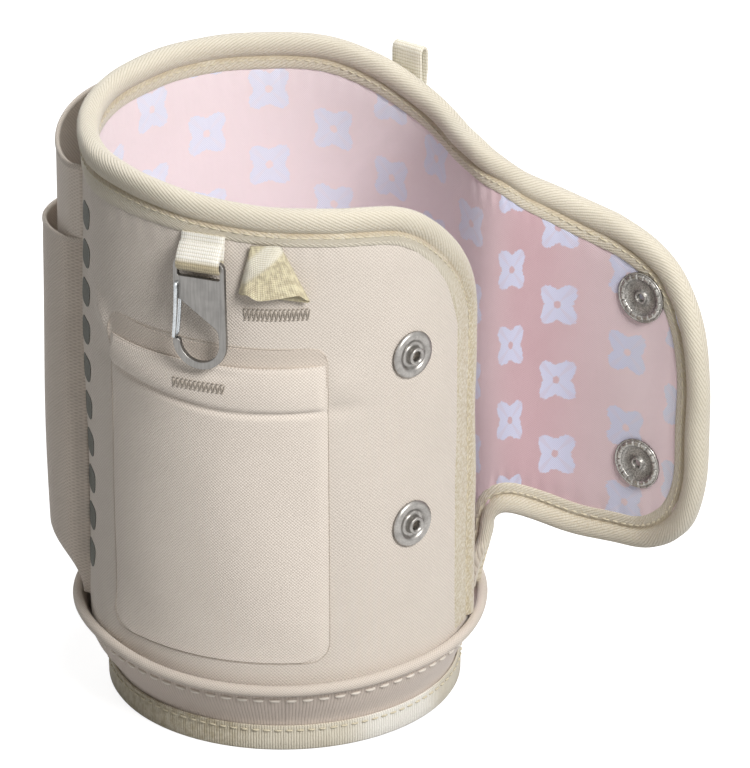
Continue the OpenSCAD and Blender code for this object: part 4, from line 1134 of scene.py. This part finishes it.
shoulder = [(TOP_X, CLIP_TOP - 1.9), (TOP_X - 0.15, CLIP_TOP - 1.2), (TOP_X - 0.6, CLIP_TOP - 0.5),
            (TOP_X - 1.3, CLIP_TOP - 0.1), (TOP_X - 2.0, CLIP_TOP)]
contour = ([(-x, h) for x, h in shoulder] + shoulder[::-1]
           + [(TOP_X + 0.15, RING_H + 9), (RING_R - 0.02, RING_H + 3)]
           + arc(0, RING_H, RING_R, np.linspace(0, -math.pi + 0.07, 40))
           + [(-RING_R, NOSE_H - 0.35), (-RING_R + 0.35, NOSE_H), (-EYE_R - 0.35, NOSE_H), (-EYE_R, NOSE_H - 0.35)]
           + arc(0, RING_H, EYE_R, np.linspace(-math.pi + 0.07, 0, 34))
           + [(EYE_R - x, RING_H + h) for x, h in ((0, 2.0), (0.2, 3.6), (0.7, 4.6), (1.4, 5.3))]
           + [(x, GAP_H + h) for x, h in ((1.2 - EYE_R, -0.55), (0.5 - EYE_R, -0.1), (-EYE_R - 0.2, 0),
                                          (0.6 - TOP_X, 0), (-TOP_X, 0.6))])
slot_w, slot_top, slot_low = 6.3, CLIP_BAR_H - 1.3, CLIP_BAR_H - 3.9
slot_line = rounded([(-slot_w, slot_low), (slot_w, slot_low), (slot_w, slot_top), (-slot_w, slot_top)], 0.9)
outline = bpy.data.curves.new("clip_flat", "CURVE")
outline.dimensions = "2D"
outline.fill_mode = "BOTH"
outline.extrude = 0.6 * MM
outline.bevel_depth = 0.22 * MM
outline.bevel_resolution = 2
for line in (contour, slot_line, arc(PIVOT_X, PIVOT_H, 0.63, turn(16))):
    spline = outline.splines.new("POLY")
    spline.points.add(len(line) - 1)
    for p, (x, y) in zip(spline.points, line):
        p.co = (x * MM, y * MM, 0, 1)
    spline.use_cyclic_u = True
helper = add_object("clip_flat", outline)
bpy.context.view_layer.update()
mesh = bpy.data.meshes.new_from_object(helper.evaluated_get(bpy.context.evaluated_depsgraph_get()))
bpy.data.objects.remove(helper)
points, faces = np.array([v.co for v in mesh.vertices]) / MM, [list(p.vertices) for p in mesh.polygons]
bpy.data.meshes.remove(mesh)
clip_plate = fix_normals(make("clip_plate", on_wall(points, CLIP_A, OUT_R + CLIP_N), faces), merge=True)
clip_plate.data.shade_flat()
finish_mesh(clip_plate, steel, "clip", "brushed_steel")
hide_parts("clip_frame")

LEG, WAIST = 1.65, 0.25                     # half the gate's width at its pivot, and what it loses down to its foot
foot, head = NOSE_H + 0.65, PIVOT_H - 0.5
down = np.linspace(0.1, 0.95, 12)


def leg(f, sign):
    """(x, up, out) down one leg of the gate's wire, f from 0 at the pivot to 1 at its foot."""
    return stack(0.15 * np.sin(math.pi * f) - 0.9 * f, head + (foot - head) * f, sign * (LEG - WAIST * f))


half_turn = np.linspace(0, math.pi, 9)
loop = np.concatenate([
    [(0.0, z, out) for out, z in arc(0, head, LEG, half_turn, 0.55)], leg(down, -1),
    [(-0.9, z, out) for out, z in arc(0, foot + 0.4, LEG - WAIST, half_turn + math.pi, 0.4)], leg(down[::-1], 1)])
gate = wire_ring("clip_gate_wire", on_wall(loop + (PIVOT_X, 0, 0), CLIP_A, OUT_R + CLIP_N), 0.53, wire_steel,
                 "spring_steel", "gate", 12)
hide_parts("clip_gate")

# ---- pieces of the flap: their transforms baked in; the ends of a bend about the fold line are worked out but not used
BEND_START, BEND_END = ((x * MM, y * MM, 0.1) for x, y in raw_plan(np.array([BEND_FROM + 3.0, BEND_TO - 1.0])))
for o in (flap_outside, flap_inside, flap_tape, flap_stitches):
    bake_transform(o)
    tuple(BEND_START)
    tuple(BEND_END)


# ---- camera, floor and light
def aim_at(o, place, target):
    o.location = place
    o.rotation_mode = "QUATERNION"
    o.rotation_quaternion = (Vector(target) - Vector(place)).to_track_quat("-Z", "Y")


ELEVATION, DISTANCE, MID_H = math.radians(25.27), 1.5, 0.085
FOCAL_PIXELS, SENSOR = 5413, 36.0           # the focal length in the photo's pixels, of which it is 768 high
across, up = 0.0256, 0.0027                 # the photo's middle, beside and over the object's axis
camera = add_object("camera", bpy.data.cameras.new("camera"))
camera.data.sensor_width = SENSOR
camera.data.lens = FOCAL_PIXELS / 768 * SENSOR
camera.data.clip_end = 20
aim_at(camera, (0, -DISTANCE * math.cos(ELEVATION), MID_H + DISTANCE * math.sin(ELEVATION)),
       (across, up * math.sin(ELEVATION), MID_H + up * math.cos(ELEVATION)))
scene.camera = camera

ground = bpy.data.meshes.new("floor")
ground.from_pydata([(-6, -6, 0), (6, -6, 0), (6, 6, 0), (-6, 6, 0)], [], [(0, 1, 2, 3)])
floor = add_object("floor", ground)
fs = Shade("pale floor", "#b0b0b0", 0.9, specular=0.1)
glow = fs.add("ShaderNodeEmission", {"Color": "#ffffff", "Strength": fs.background_rays() * 0.85})
both = fs.add("ShaderNodeAddShader", {0: fs.bsdf.outputs[0], 1: glow.outputs[0]})
fs.put(next(n for n in fs.tree.nodes if n.type == "OUTPUT_MATERIAL").inputs[0], both.outputs[0])
ground.materials.append(fs.material)
floor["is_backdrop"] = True

scene.world = bpy.data.worlds.new("studio")
scene.world.use_nodes = True
scene.world.node_tree.nodes.clear()
sky = Nodes(scene.world.node_tree)
ambient = sky.add("ShaderNodeBackground", {0: (1.0, 0.975, 0.95, 1), 1: 0.15})
white = sky.add("ShaderNodeBackground", {0: (1, 1, 1, 1), 1: 1.0})
mixed = sky.add("ShaderNodeMixShader", {0: sky.background_rays(), 1: ambient.outputs[0], 2: white.outputs[0]})
sky.add("ShaderNodeOutputWorld", {0: mixed.outputs[0]})

for name, at, size, watts, tint in (("key", (0.60, -0.90, 0.95), 0.55, 17.5, (1.0, 0.985, 0.97)),
                                    ("fill", (-0.9, -0.5, 0.55), 0.8, 0.5, (1.0, 0.97, 0.94)),
                                    ("top", (0.15, 0.3, 1.2), 0.8, 6.5, (1, 1, 1)),
                                    ("back", (-0.4, 1.2, 0.7), 0.9, 5.0, (1, 1, 1))):
    lamp = bpy.data.lights.new(name, "AREA")
    lamp.shape, lamp.size, lamp.energy, lamp.color = "DISK", size, watts, tint
    aim_at(add_object(name, lamp), at, (0, 0, 0.09))

scene.view_settings.view_transform = "Standard"
low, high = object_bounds()
{"cad": [list(cad_low), list(cad_high)], "visual": [list(low), list(high)]}
